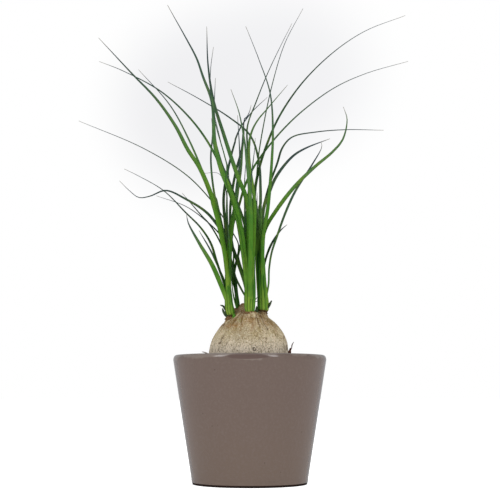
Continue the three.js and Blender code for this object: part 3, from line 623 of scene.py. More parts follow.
def corky_bark():
    """The bulb's thin corky bark: dry greyish tan, finely speckled all over, with
    short cracks that run up and down, folded and browner towards the tufts."""
    material, tree, coords = new_material("corky_bulb_bark")
    fold, torn, scar = [node(tree, "Attribute", out="Fac", attribute_name=name)
                        for name in ("fold", "torn", "scar")]
    wrapped = node(tree, "Attribute", out="Vector", attribute_name="skin")
    where = node(tree, "Mapping", {"Vector": coords, "Scale": PER_MM})
    tall = node(tree, "Mapping", {"Vector": coords, "Scale": (1000, 1000, 700)})
    level = node(tree, "SeparateXYZ", [where], out=2)
    broad = node(tree, "TexNoise", {
        "Vector": where, "Scale": 0.075, "Detail": 3, "Roughness": 0.55})
    speckle, jitter = node(tree, "TexNoise", {
        "Vector": tall, "Scale": 0.75, "Detail": 5, "Roughness": 0.7, "Distortion": 0.4},
        out=None).outputs
    grain = node(tree, "TexNoise", {
        "Vector": where, "Scale": 1.15, "Detail": 4, "Roughness": 0.75})
    blotch = node(tree, "TexNoise", {
        "Vector": where, "Scale": 0.24, "Detail": 3, "Roughness": 0.6})
    patched = node(tree, "MapRange", [broad, 0.4, 0.58, 0.6, 0.95], **SMOOTH)
    upper = node(tree, "MapRange", [fold, 0.3, 1], **SMOOTH)
    layers = [
        (broad, 0.38, 0.62, 1, "#B29F74"),
        # Pinkish blotches of 3 to 5 mm where the outermost skin has come away.
        (blotch, 0.5, 0.62, 0.45, "#D2BA98"),
        # Paler low down: painted light, brightening the bark where the pot's lip shades it.
        (level, 138, 112, 0.95, "#FCECD6"),
        # Yellow-brown in patches towards the tufts.
        (node(tree, "Math:MULTIPLY", [patched, upper]), "#967A4A")]
    # Single patches: browner on the front, rusty and greenish around the tufts' feet.
    for centre, size, share, tone in BARK_TINT_PATCHES:
        tint_patch = node(tree, "Mapping", {
            "Vector": where, "Location": [-c / d for c, d in zip(centre, size)],
            "Scale": [1 / d for d in size]})
        tint_patch = node(tree, "VectorMath:LENGTH", [tint_patch], out="Value")
        tint_patch = node(tree, "Math:ADD", [tint_patch, broad])
        layers.append((tint_patch, 1.5, 0.7, share, tone))
    # Short cracks between plates about 3.5 mm wide and twice as tall.
    warped = node(tree, "VectorMath:ADD", [tall, jitter])
    cracks = node(tree, "TexVoronoi", {"Vector": warped, "Scale": 0.3}, out="Distance",
                  feature="DISTANCE_TO_EDGE")
    cracks = node(tree, "MapRange", [cracks, 0.07, 0.015], **SMOOTH)
    patchy = node(tree, "MapRange", [broad, 0.46, 0.56], **SMOOTH)
    lines = node(tree, "Math:MULTIPLY", [cracks, patchy])
    # Drawn-out fibres and furrows near the tufts, fading out down the shoulders.
    fibres = node(tree, "TexNoise", {
        "Vector": wrapped, "Scale": 0.33, "Detail": 4, "Roughness": 0.65})
    furrow = node(tree, "MapRange", [fibres, 0.5, 0.66], **SMOOTH)
    furrow = node(tree, "Math:MULTIPLY", [furrow, fold])
    ridge = node(tree, "MapRange", [fibres, 0.44, 0.3, 0, 0.75], **SMOOTH)
    # The ring of a leaf scar, 3 mm across and open at one side, low on the front.
    ring = node(tree, "Mapping", {
        "Vector": where, "Location": (-4.7, 7.2, -120.9), "Scale": (1, 0.2, 1)})
    ring = node(tree, "VectorMath:ADD", [ring, jitter])
    opening = node(tree, "VectorMath:DOT_PRODUCT", [ring, (0.8, 0, 0.6)], out="Value")
    closed = node(tree, "MapRange", [opening, 1.5, 0.9], **SMOOTH)
    ring = node(tree, "VectorMath:LENGTH", [ring], out="Value")
    ring = node(tree, "Math:SUBTRACT", [ring, 1.4])
    ring = node(tree, "Math:ABSOLUTE", [ring])
    ring = node(tree, "MapRange", [ring, 0.7, 0.25, 0, 0.85], **SMOOTH)
    colour = layered(tree, "#C2B292", layers + [
        # Yellow-brown flecks of 1 to 2 mm, a little taller than wide.
        (speckle, 0.5, 0.6, 0.72, "#7E6A42"),
        # Pits and worn, paler grains.
        (grain, 0.53, 0.63, 0.68, "#6A5A38"),
        (grain, 0.47, 0.36, 0.8, "#E6DECC"),
        (node(tree, "Math:MULTIPLY", [lines, 0.55]), "#6B5836"),
        (node(tree, "Math:MULTIPLY", [furrow, 0.85]), "#6C4F2B"),
        (node(tree, "Math:MULTIPLY", [ridge, fold]), "#D6C8A4"),
        # Rust-brown where the bark is torn, nearly black in the old splits.
        (node(tree, "Math:MULTIPLY", [torn, speckle]), 0.12, 0.55, 0.85, "#845A30"),
        (scar, "#543A20"),
        (node(tree, "Math:MULTIPLY", [ring, closed]), "#38271A")])
    relief = node(tree, "Math:ADD", [speckle, grain])
    relief = node(tree, "Math:SUBTRACT", [relief, lines])
    relief = node(tree, "Math:SUBTRACT", [relief, furrow])
    return finish(material, relief, 0.5, 0.0006, {
        "Base Color": colour, "Roughness": 0.85, "IOR": 1.45, "Specular IOR Level": 0.25})


# Leaf colours, from sunlit to deep in shade, partly painted light and shade, each
# at the foot, on the blade and far up it, where they turn greyer as a painted sheen.
LEAF_TONES = (("#86A03A", "#4A781B", "#527436"), ("#4E7E22", "#2E6414", "#34543C"),
              ("#2E6218", "#1E3E20", "#1B2D34"))


def leaf_green(tree, dark, along):
    """Leaf colour from bright to blue-black green, partly painted sunlight and shade, paler at the
    foot, greyer far up as a painted sheen.
    """
    up = node(tree, "MapRange", [along, 0, 0.2], **SMOOTH)
    far = node(tree, "MapRange", [along, 0.3, 0.75], **SMOOTH)
    bright, middle, deep = [layered(tree, foot, [(up, blade), (far, end)])
                            for foot, blade, end in LEAF_TONES]
    return layered(tree, bright, [(node(tree, "MapRange", [dark, 0, 0.5]), middle),
                                  (node(tree, "MapRange", [dark, 0.5, 1]), deep)])


def leaf_blade_skin():
    """The living leaf blade: a tough green strap with a waxy skin, ribbed from
    end to end, darker and bluer on some blades, partly as painted shade, with a
    blue-grey painted sheen on its upper half and painted shade along its margins,
    drying grey-brown at the tip."""
    material, tree, coords = new_material("waxy_leaf_blade")
    where = node(tree, "Mapping", {"Vector": coords, "Scale": PER_MM})
    flat = node(tree, "UVMap", uv_map="UVMap")
    across, along, _ = node(tree, "SeparateXYZ", [flat], out=None).outputs
    dark = node(tree, "Attribute", out="Fac", attribute_name="dark")
    patches = node(tree, "TexNoise", {
        "Vector": where, "Scale": 0.06, "Detail": 4, "Roughness": 0.6})
    uneven = node(tree, "MapRange", [patches, 0.3, 0.7, -0.2, 0.2])
    shade = node(tree, "Math:ABSOLUTE", [dark])
    shade = node(tree, "Math:ADD", [shade, uneven])
    # Olive and yellow-green patches a few centimetres long.
    drawn = node(tree, "Mapping", {"Vector": coords, "Scale": (1000, 1000, 160)})
    olive = node(tree, "TexNoise", {
        "Vector": drawn, "Scale": 0.2, "Detail": 3, "Roughness": 0.6})
    # Ribs along the blade, drawn 0.5 mm apart, a little coarser than the real
    # ones so that they show.
    ribs = node(tree, "TexWave", {"Vector": flat, "Scale": 2.6, "Distortion": 0}, out="Fac",
                wave_type="BANDS", bands_direction="X")
    middle = node(tree, "Math:SUBTRACT", [across, 0.5])
    middle = node(tree, "Math:ABSOLUTE", [middle])
    # The upper half turns blue-grey, a painted sheen of the sky, except on the
    # blades painted as sunlit, and the last centimetres dry out.
    far = node(tree, "MapRange", [along, 0.5, 1], **SMOOTH)
    grey_sheen_share = node(tree, "MapRange", [dark, -0.1, 0, 0.25, 1])
    colour = layered(tree, leaf_green(tree, shade, along), [
        (olive, 0.5, 0.68, 0.4, "#667A20"),
        (node(tree, "Math:MULTIPLY", [ribs, 0.16]), "#7FA63C"),
        # Darker green towards both margins: painted shade along the blade's edges.
        (middle, 0.4, 0.5, 0.55, "#1C3D14"),
        # Painted blue-grey sheen far up the blade, held back on blades painted as sunlit.
        (node(tree, "Math:MULTIPLY", [far, grey_sheen_share]), "#2E3C40"),
        (along, 0.93, 1, 1, "#6F6A5C")])
    return finish(material, ribs, 0.25, 0.0002, {
        "Base Color": colour, "Roughness": 0.45, "IOR": 1.45, "Specular IOR Level": 0.13})


def leaf_foot_skin():
    """The rolled leaf feet: fleshy, pale yellow-green low down, with painted shade
    in dark lines under the overlapping edges and a dry brown hem where they leave the bulb."""
    material, tree, coords = new_material("fleshy_leaf_feet")
    where = node(tree, "Mapping", {"Vector": coords, "Scale": PER_MM})
    drawn = node(tree, "Mapping", {"Vector": coords, "Scale": (1000, 1000, 120)})
    # The rise is in millimetres above the foot.
    rise, dark, overlap_shade = [node(tree, "Attribute", out="Fac", attribute_name=name)
                          for name in ("rise", "dark", "overlap_shade")]
    streaks = node(tree, "TexNoise", {
        "Vector": drawn, "Scale": 0.9, "Detail": 4, "Roughness": 0.65})
    uneven = node(tree, "MapRange", [streaks, 0.3, 0.7, -0.3, 0.3])
    shade = node(tree, "Math:ADD", [dark, uneven])
    # Deeper green further up, as among the blades.
    shade = node(tree, "Math:MULTIPLY_ADD", [rise, 0.004, shade])
    green = leaf_green(tree, shade, node(tree, "Math:MULTIPLY", [rise, 0.006]))
    edge = node(tree, "TexNoise", {"Vector": where, "Scale": 0.5})
    hem = node(tree, "Math:MULTIPLY_ADD", [edge, -2.6, rise])
    colour = layered(tree, green, [
        # Painted shade in the step under each overlapping edge.
        (node(tree, "Math:MULTIPLY", [overlap_shade, 0.85]), "#16300F"),
        (hem, 0.8, -0.3, 1, "#4A3A1C")])
    return finish(material, streaks, 0.4, 0.0004, {
        "Base Color": colour, "Roughness": 0.42, "IOR": 1.45, "Specular IOR Level": 0.15})


def dry_tissue(name, light, dark):
    """Papery dead plant tissue: brown, fibrous along its length, quite dull."""
    material, tree, coords = new_material(name)
    drawn = node(tree, "Mapping", {"Vector": coords, "Scale": (1000, 1000, 300)})
    fibres = node(tree, "TexNoise", {
        "Vector": drawn, "Scale": 1.6, "Detail": 4, "Roughness": 0.65})
    return finish(material, fibres, 0.6, 0.0004, {
        "Base Color": layered(tree, dark, [(fibres, 0.35, 0.65, 1, light)]),
        "Roughness": 0.85, "IOR": 1.45, "Specular IOR Level": 0.25})


def glowing_white(name):
    """White paper sweep, lit from below away from the pot so that it shows no edge."""
    material, tree, coords = new_material(name)
    away = node(tree, "VectorMath:LENGTH", [coords], out="Value")
    glow = node(tree, "MapRange", [away, 0.0508, 0.0532, 0, 0.85], **SMOOTH)
    shader = node(tree, "BsdfPrincipled", {
        "Emission Strength": glow, "Base Color": "#F0F0F0", "Roughness": 0.9,
        "Specular IOR Level": 0.1, "Emission Color": "#FFFFFF"})
    node(tree, "OutputMaterial", {"Surface": shader})
    return material


GLAZE = taupe_glaze()
SOIL = peat_soil()
BARK = corky_bark()
BLADE = leaf_blade_skin()
FOOT = leaf_foot_skin()
DRY_SCALE = dry_tissue("dry_leaf_scales", "#8A6A44", "#46301C")
DEAD_STUB = dry_tissue("dead_leaf_stub", "#3F5230", "#1B2618")
DRY_ROOT = dry_tissue("dry_root", "#7A4A36", "#2E1A14")
PALE_SLIVER = dry_tissue("bleached_bark_sliver", "#D8CFC6", "#8E8078")


# ------------------------------------------------------------------ pot

TAPER = (POT_RIM_RADIUS - POT_FOOT_RADIUS) / (POT_HEIGHT - LIP_RADIUS)


def inside_radius(height):
    return POT_FOOT_RADIUS + TAPER * height - POT_WALL


def make_pot():
    """The cover pot, turned: a straight taper, a rounded foot and a rolled lip."""
    foot = [(POT_FOOT_RADIUS + 0.3 - FOOT_INSET * (1 - math.cos(math.radians(turn))),
             FOOT_ROUND * (1 + math.sin(math.radians(turn)))) for turn in range(-90, 1, 6)]
    # The lip is rolled over rather taller on the outside, as the glaze sags there.
    lip = [(POT_RIM_RADIUS - LIP_RADIUS * (1 - math.cos(math.radians(turn))),
            POT_HEIGHT - LIP_SAG * (1 - math.sin(math.radians(turn))))
           for turn in range(0, 90, 6)]
    for i in range(13):
        angle = math.radians(90 + 90 * i / 12)
        lip.append((POT_RIM_RADIUS - LIP_RADIUS + LIP_RADIUS * math.cos(angle),
                    POT_HEIGHT - LIP_RADIUS + LIP_RADIUS * math.sin(angle)))
    (foot_radius, foot_height), (lip_radius, lip_height) = foot[-1], lip[0]
    side = [(foot_radius + (lip_radius - foot_radius) * i / 24,
             foot_height + (lip_height - foot_height) * i / 24) for i in range(1, 24)]
    low = inside_radius(POT_CORNER)
    lip_radius, lip_height = lip[-1]
    inner = [(low + (lip_radius - low) * t, POT_CORNER + (lip_height - POT_CORNER) * t)
             for t in (0.9, 0.6, 0.3, 0)]
    floor = [(low - 0.5, POT_FLOOR + 2.6), (low - 2.2, POT_FLOOR + 0.7), (low - 5, POT_FLOOR)]
    profile = [(0.01, 0), *foot, *side, *lip, *inner, *floor, (0.01, POT_FLOOR)]
    mesh = smooth_mesh("cover_pot", *skin(revolve(profile, POT_SIDES)))
    mesh.materials.append(GLAZE)
    place("cover_pot", mesh, "pot")


# ------------------------------------------------------------------ soil

def new_tree(name, *inputs):
    """A Geometry Nodes tree and its inputs, each with a name, a kind and a value."""
    tree = bpy.data.node_groups.new(name, "GeometryNodeTree")
    for label, kind, *value in (("Geometry", "Geometry"), *inputs, ("Material", "Material")):
        socket = tree.interface.new_socket(label, in_out="INPUT",
                                           socket_type="NodeSocket" + kind)
        if value:
            socket.default_value = value[0]
    tree.interface.new_socket("Geometry", in_out="OUTPUT", socket_type="NodeSocketGeometry")
    return tree, node(tree, "NodeGroupInput", out=None).outputs


def end_tree(tree, geometry, material):
    """End a tree with real geometry in the material that it is given."""
    real = node(tree, "GeometryNodeRealizeInstances", [geometry])
    real = node(tree, "GeometryNodeSetMaterial", {"Geometry": real, "Material": material})
    node(tree, "NodeGroupOutput", [real])
    return tree


def crumb_scatter():
    """Crumbs of soil strewn over the soil's upper faces."""
    tree, given = new_tree(
        "soil crumbs", ("Crumbs per square metre", "Float", CRUMBS_PER_SQUARE_METRE),
        ("Crumb size", "Float", CRUMB_SIZE), ("Seed", "Int", 7))
    normal = node(tree, "GeometryNodeInputNormal")
    facing = node(tree, "SeparateXYZ", [normal], out=2)
    spot = node(tree, "GeometryNodeInputPosition")
    height = node(tree, "SeparateXYZ", [spot], out=2)
    up = node(tree, "FunctionNodeCompare:GREATER_THAN", [facing, 0.3])
    high = node(tree, "FunctionNodeCompare:GREATER_THAN", [height, 0.104])
    top = node(tree, "FunctionNodeBooleanMath:AND", [up, high])
    spots = node(tree, "GeometryNodeDistributePointsOnFaces", {
        "Mesh": given["Geometry"], "Selection": top,
        "Density": given["Crumbs per square metre"], "Seed": given["Seed"]})
    crumb = node(tree, "GeometryNodeMeshIcoSphere", {
        "Radius": given["Crumb size"], "Subdivisions": 1})
    ragged = node(tree, "TexNoise", {"Scale": 900, "Detail": 2})
    push = node(tree, "Math:SUBTRACT", [ragged, 0.5])
    push = node(tree, "Math:MULTIPLY", [push, given["Crumb size"]])
    push = node(tree, "Math:MULTIPLY", [push, 2.2])
    outward = node(tree, "GeometryNodeInputNormal")
    shift = node(tree, "VectorMath:SCALE", {0: outward, "Scale": push})
    rough = node(tree, "GeometryNodeSetPosition", {"Geometry": crumb, "Offset": shift})
    turn = node(tree, "FunctionNodeRandomValue", {
        "Seed": given["Seed"], "Max": (6.28, 6.28, 6.28)}, data_type="FLOAT_VECTOR")
    grow = node(tree, "FunctionNodeRandomValue", {"Seed": given["Seed"], 2: 0.35, 3: 1.25},
                out=1, data_type="FLOAT")
    strewn = node(tree, "GeometryNodeInstanceOnPoints", {
        "Points": spots, "Instance": rough, "Rotation": turn, "Scale": grow})
    whole = node(tree, "GeometryNodeJoinGeometry", out=None)
    for source in (strewn, given["Geometry"]):
        tree.links.new(source, whole.inputs[0])
    return end_tree(tree, whole.outputs[0], given["Material"])


def grown(name, base, tree, inputs, thickness=0):
    """The plain mesh that a Geometry Nodes tree makes from a base object's data,
    made solid where a thickness is given."""
    maker = link_in(bpy.data.objects.new(name, base))
    modifier = maker.modifiers.new("grow", "NODES")
    modifier.node_group = tree
    for item in tree.interface.items_tree:
        if item.item_type == "SOCKET" and item.in_out == "INPUT" and item.name in inputs:
            modifier[item.identifier] = inputs[item.name]
    if thickness:
        solid = maker.modifiers.new("solidify", "SOLIDIFY")
        solid.thickness = thickness
        solid.offset = 0
    graph = bpy.context.evaluated_depsgraph_get()
    mesh = bpy.data.meshes.new_from_object(maker.evaluated_get(graph), depsgraph=graph)
    maker.modifiers.clear()
    bpy.data.objects.remove(maker)
    mesh.name = name
    return mesh


def crumbly(x, y, z):
    """Mound, hollows and crumbs of the soil's upper face, laid over its plain top."""
    if z != SOIL_EDGE_HEIGHT:
        return x, y, z
    mound = SOIL_MOUND_HEIGHT * math.exp(-(max(math.hypot(x, y) - 36, 0) / 13) ** 2)
    broad = 0.7 * math.sin(x / 7.3 + 1.2) * math.cos(y / 8.9 - 0.5)
    crumbs = 0.8 * math.sin(x / 2.1 + y / 5.3) * math.sin(y / 2.4 - x / 6.1 + 2)
    rough = noise.fractal(Vector((x, y, 3)) * 0.5, 0.8, 2.1, 4)
    return x, y, SOIL_EDGE_HEIGHT + mound + broad + crumbs + 0.5 * rough


def make_soil():
    """The soil: a solid plug with a plain hollow for the bulb and a crumbly top."""
    edge = inside_radius(SOIL_EDGE_HEIGHT) - SOIL_GAP - 0.6
    foot = inside_radius(POT_CORNER) - SOIL_GAP
    top = [(edge - (edge - 35.4) * i / 26, SOIL_EDGE_HEIGHT) for i in range(27)]
    profile = [(0.01, POT_FLOOR + SOIL_GAP), (foot - 5.2, POT_FLOOR + SOIL_GAP),
               (foot, POT_FLOOR + 6), (inside_radius(100) - SOIL_GAP, 100), *top,
               (34.5, 102), (0.01, 100)]
    plug = smooth_mesh("soil_plug", *skin(revolve(profile, SOIL_SIDES, crumbly), "open"))
    mesh = grown("potting_soil", plug, crumb_scatter(), {"Material": SOIL})
    place("potting_soil", mesh, "soil")


# ------------------------------------------------------------------ bulb

def neck_rise(x, y):
    """Height of the necks over the bulb's shoulders, and how torn the bark is."""
    top = 0.0
    torn = 0.0
    for neck_x, neck_y, foot_z, foot_radius, top_z, top_radius, rough in NECKS:
        away = math.hypot(x - neck_x, y - neck_y)
        share = 1 - smoothstep(top_radius * 0.8, foot_radius * 1.12, away)
        top = max(top, foot_z + (top_z - foot_z) * share if share > 0 else 0)
        reach = max(top_radius + 4, foot_radius * 0.8)
        torn = max(torn, rough * (1 - smoothstep(top_radius * 0.9, reach, away)))
    return top, torn


def mark_strength(kind, x, z):
    """How strongly the marks of one kind show at a place on the front."""
    strongest = 0.0
    for mark_kind, reach, points in BULB_MARKS:
        if mark_kind == kind:
            for a, b in zip(points, points[1:]):
                run = (b[0] - a[0], b[1] - a[1])
                t = ((x - a[0]) * run[0] + (z - a[1]) * run[1]) / (run[0] ** 2 + run[1] ** 2)
                t = min(max(t, 0), 1)
                off = math.hypot(x - a[0] - run[0] * t, z - a[1] - run[1] * t)
                if off < 3 * reach:
                    strongest = max(strongest, math.exp(-(off / reach) ** 2))
    return strongest


def bark_point(radius, height, run, angle):
    """A point of the bark, with its place on the skin, fold, tear and scar."""
    fold = smoothstep(128, 148, height)
    radius = max(radius, 0.02)
    around = Vector((math.cos(angle) * BULB_RADIUS, math.sin(angle) * BULB_RADIUS, run * 0.5))
    swell = (0.6 * math.sin(3 * angle + height / 19)
             + 0.4 * math.sin(5 * angle - height / 13 + 1)) * min(radius / BULB_RADIUS, 1)
    wrinkle = 0.0
    if height > 96:
        wrinkle = (0.3 * noise.fractal(around * 0.16, 0.7, 2.2, 4)
                   + 0.14 * noise.fractal(around * 0.8, 0.6, 2.0, 3))
        # Folds that run down from the tufts over the shoulders.
        drawn = Vector((around.x, around.y, run * 0.12)) * 0.2
        wrinkle += fold * 0.75 * noise.noise(drawn) + fold * 0.4 * noise.noise(drawn * 2.3)
    radius += swell + wrinkle * min(radius / 10, 1)
    x = radius * math.cos(angle) + BULB_CENTRE_X
    y = radius * math.sin(angle)
    z = height
    torn = scar = 0.0
    if z > SHOULDER_HEIGHT:
        top, torn = neck_rise(x, y)
        fade = smoothstep(SHOULDER_HEIGHT, 146, z)
        z = max(z, z + (top - z) * fade) + 0.4 * wrinkle
        torn *= fade
    if y < 3 and z > 110:
        scale = 1 + y / VIEW_DISTANCE
        shift = noise.noise_vector(Vector((x, z, 5)) * 0.45)
        seen_x = x / scale + 1.1 * shift.x
        seen_z = EYE_HEIGHT + (z - EYE_HEIGHT) / scale + 1.1 * shift.y
        # Marks end where the bark turns away from the front.
        front = smoothstep(0.03, 0.3, -y / radius)
        scar = front * mark_strength("scar", seen_x, seen_z)
        torn = max(torn, 0.62 * front * mark_strength("rust", seen_x, seen_z))
    spot = Vector((x, y, z))
    if y < 0:
        spot.y += 0.35 * scar
    return spot, (around.x, around.y, run * 0.2), fold, torn, min(scar, 1) * 0.85


def make_bulb():
    """The corky bulb with its necks, roots and splits in the bark."""
    outline = spline_through([(radius, 0, height) for radius, height in BULB_PROFILE],
                             BULB_RINGS)
    rings, skins, folds, torn, scars = [], [], [], [], []
    for point, run in zip(outline, running(outline)):
        ring = [bark_point(point.x, point.z, run, angle) for angle in turns(BULB_SIDES)]
        rings.append([spot for spot, *_ in ring])
        skins += [value for _, place_on, *_ in ring for value in place_on]
        folds += [fold for _, _, fold, _, _ in ring]
        torn += [tear for _, _, _, tear, _ in ring]
        scars += [scar for *_, scar in ring]
    mesh = smooth_mesh("bulb", *skin(rings), cleaned=False)
    paint(mesh, "fold", folds)
    paint(mesh, "torn", torn)
    paint(mesh, "scar", scars)
    layer = mesh.attributes.new("skin", "FLOAT_VECTOR", "POINT")
    layer.data.foreach_set("vector", skins)
    mesh.materials.append(BARK)
    parts = [mesh]
    for degrees, height, reach, depth in ROOTS:
        angle = math.radians(degrees)
        stations = [(radius * math.cos(angle), radius * math.sin(angle), z, thick)
                    for radius, z, thick in (
                        (18, height + 4, 4.2), (27, height - 12, 3.4),
                        ((27 + reach) / 2, (height + depth) / 2 - 8, 2.4), (reach, depth, 1.1))]
        parts.append(rod("root", stations, 14, 14, DRY_ROOT))
    for i, collar in enumerate(COLLARS):
        parts.append(collar_mesh(f"collar_{i + 1}", 3 + 5 * i, *collar))
    place("bulb", joined("bulb", parts), "caudex")


def collar_mesh(name, seed, x, y, foot_z, foot_radius, top_radius, height):
    """A ragged ring of papery bark, torn open where the leaves pushed through."""
    rings = []
    steps = range(7)
    for inside, step in [(0, step) for step in steps] + [(1, step) for step in reversed(steps)]:
        t = step / 6
        ring = []
        for angle in turns(96):
            turn = Vector((math.cos(angle), math.sin(angle), seed))
            tear = 0.55 + 0.5 * noise.noise(turn * 1.7) + 0.35 * noise.noise(turn * 6.5)
            flare = 0.5 * noise.noise(turn * 3.1 + Vector((0, 0, t)))
            wall = 0.45 * (1 - 0.6 * t) * inside
            radius = foot_radius + (top_radius - foot_radius) * t + flare * t - wall
            ring.append(Vector((x + radius * math.cos(angle), y + radius * math.sin(angle),
                                foot_z + height * t * max(tear, 0.15))))
        rings.append(ring)
    mesh = smooth_mesh(name, *skin(rings, "joined"))
    mesh.materials.append(DRY_SCALE)
    return mesh


# ------------------------------------------------------------------ leaves

def seen(x, z, y):
    """The point at depth y that the camera sees at (x, z) of the plane y = 0."""
    scale = 1 + y / VIEW_DISTANCE
    return Vector((x * scale, y, EYE_HEIGHT + (z - EYE_HEIGHT) * scale))


def through_three(depth, s):
    """The depth along a blade, on a parabola through its foot, middle and tip."""
    foot, middle, tip = depth
    return foot * (1 - s) * (1 - 2 * s) + middle * 4 * s * (1 - s) + tip * s * (2 * s - 1)


def leaf_points(route, depth):
    """A blade's route in space."""
    lengths = [0.0]
    for before, after in zip(route, route[1:]):
        lengths.append(lengths[-1] + math.dist(before, after))
    return [seen(x, z, through_three(depth, run / lengths[-1]))
            for (x, z), run in zip(route, lengths)]


# Half width of a blade along its run, as a share of its widest.
BLADE_OUTLINE = ((0, 0.72), (0.12, 0.89), (0.3, 1.0), (0.4, 0.935), (0.5, 0.846), (0.6, 0.726),
                 (0.7, 0.58), (0.8, 0.41), (0.9, 0.23), (1, 0.04))


def blade_tree():
    """One blade grown along a curve: a strap that wraps its stem at the foot,
    opens to a shallow trough and is drawn out to the tip."""
    tree, given = new_tree(
        "leaf blade", ("Width", "Float", 0.004), ("Foot turn", "Float", 0),
        ("Tip turn", "Float", 0.5), ("Trough", "Float", 0.2), ("Dark", "Float", 0.5),
        ("Fullness", "Float", 1), ("Steps", "Int", 90), ("Upper side", "Vector", (0, 0, 1)))
    # A flat grid: side runs from -1 to 1 across the blade and run from 0 to 1.
    strip = node(tree, "GeometryNodeMeshGrid", {
        "Size X": 1, "Size Y": 1, "Vertices X": 9, "Vertices Y": given["Steps"]})
    flat = node(tree, "GeometryNodeInputPosition")
    flat_x, flat_y, _ = node(tree, "SeparateXYZ", [flat], out=None).outputs
    side = node(tree, "Math:MULTIPLY", [flat_x, 2])
    run = node(tree, "Math:ADD", [flat_y, 0.5])
    across = node(tree, "Math:MULTIPLY_ADD", [side, 0.5, 0.5])
    place_on = node(tree, "CombineXYZ", [across, run])
    kept = node(tree, "GeometryNodeStoreNamedAttribute", {
        "Geometry": strip, "Name": "UVMap", "Value": place_on},
        data_type="FLOAT2", domain="CORNER")
    kept = node(tree, "GeometryNodeStoreNamedAttribute", {
        "Geometry": kept, "Name": "dark", "Value": given["Dark"]},
        data_type="FLOAT", domain="POINT")
    # Directions on the path: along it, level across it and away from the front.
    path = node(tree, "GeometryNodeSampleCurve", {"Curves": given["Geometry"], "Factor": run},
                out=None, mode="FACTOR").outputs
    along = node(tree, "VectorMath:NORMALIZE", [path["Tangent"]])
    level = node(tree, "VectorMath:CROSS_PRODUCT", [along, (0, -1, 0)])
    level = node(tree, "VectorMath:NORMALIZE", [level])
    away = node(tree, "VectorMath:CROSS_PRODUCT", [level, along])
    # The broad side turns from the foot to the tip.
    turn = node(tree, "Math:SUBTRACT", [given["Tip turn"], given["Foot turn"]])
    turn = node(tree, "Math:MULTIPLY_ADD", [turn, run, given["Foot turn"]])
    level = node(tree, "VectorMath:SCALE", {0: level, "Scale": node(tree, "Math:COSINE", [turn])})
    away = node(tree, "VectorMath:SCALE", {0: away, "Scale": node(tree, "Math:SINE", [turn])})
    wide = node(tree, "VectorMath:ADD", [level, away])
    thick = node(tree, "VectorMath:CROSS_PRODUCT", [wide, along])
    upper = node(tree, "VectorMath:DOT_PRODUCT", [thick, given["Upper side"]], out="Value")
    upper = node(tree, "Math:SIGN", [upper])
    # Width: nearly full from the foot, drawn out to a fine tip.
    late = node(tree, "Math:POWER", [run, given["Fullness"]])
    shape = node(tree, "FloatCurve", {"Value": late}, out=None)
    points = shape.mapping.curves[0].points
    while len(points) < len(BLADE_OUTLINE):
        points.new(0.5, 0.5)
    for point, spot in zip(points, BLADE_OUTLINE):
        point.location = spot
    shape.mapping.update()
    half = node(tree, "Math:MULTIPLY", [shape.outputs[0], given["Width"]])
    half = node(tree, "Math:MULTIPLY", [half, 0.5])
    # Trough: deepest where the blade still wraps its stem.
    wrap = node(tree, "MapRange", [run, 0, 0.3, 1.6, 1], **SMOOTH)
    trough = node(tree, "Math:MULTIPLY", [given["Trough"], wrap])
    trough = node(tree, "Math:MULTIPLY", [trough, half])
    folded = node(tree, "Math:ABSOLUTE", [side])
    folded = node(tree, "Math:POWER", [folded, 1.5])
    lift = node(tree, "Math:MULTIPLY", [folded, trough])
    lift = node(tree, "Math:MULTIPLY", [lift, upper])
    reach = node(tree, "Math:MULTIPLY", [half, side])
    wide = node(tree, "VectorMath:SCALE", {0: wide, "Scale": reach})
    thick = node(tree, "VectorMath:SCALE", {0: thick, "Scale": lift})
    spot = node(tree, "VectorMath:ADD", [path["Position"], wide])
    spot = node(tree, "VectorMath:ADD", [spot, thick])
    bent = node(tree, "GeometryNodeSetPosition", {"Geometry": kept, "Position": spot})
    soft = node(tree, "GeometryNodeSetShadeSmooth", [bent])
    return end_tree(tree, soft, given["Material"])


def blade_mesh(name, tree, width, fullness, turned, depth, dark, route):
    points = leaf_points(route, depth)
    length = sum((b - a).length for a, b in zip(points, points[1:]))
    count = max(40, int(length / BLADE_STEP))
    curve = bpy.data.curves.new(name + "_line", "CURVE")
    curve.dimensions = "3D"
    line = curve.splines.new("POLY")
    dense = spline_through(points, count * 2)
    line.points.add(len(dense) - 1)
    for point, spot in zip(line.points, dense):
        point.co = (*(spot * MM), 1)
    # The upper side looks up and back over the foot, or away on an upright blade.
    lean = points[-1] - points[0]
    inner = Vector((-lean.x, -lean.y, 0))
    if inner.length > 1:
        inner = inner.normalized() * 0.6 + Vector((0, 0, 0.8))
    else:
        inner = Vector((0, 1, 0))
    return grown(name, curve, tree, {
        "Width": width * MM, "Foot turn": math.radians(turned[0]),
        "Tip turn": math.radians(turned[1]), "Trough": BLADE_TROUGH, "Dark": dark,
        "Fullness": fullness, "Steps": count, "Upper side": tuple(inner),
        "Material": BLADE}, LEAF_SKIN * MM)


def sheath_at(sheaths, angle, s):
    """Which leaf foot lies at an angle: its darkness and the share across it."""
    for i, (start, turn, dark) in enumerate(sheaths):
        start += turn * s
        following, following_turn, _ = sheaths[(i + 1) % len(sheaths)]
        span = (following + following_turn * s - start) % 360
        across = (angle - start) % 360
        if across < span:
            return dark, across / span, across
    return sheaths[0][2], 0.5, 30


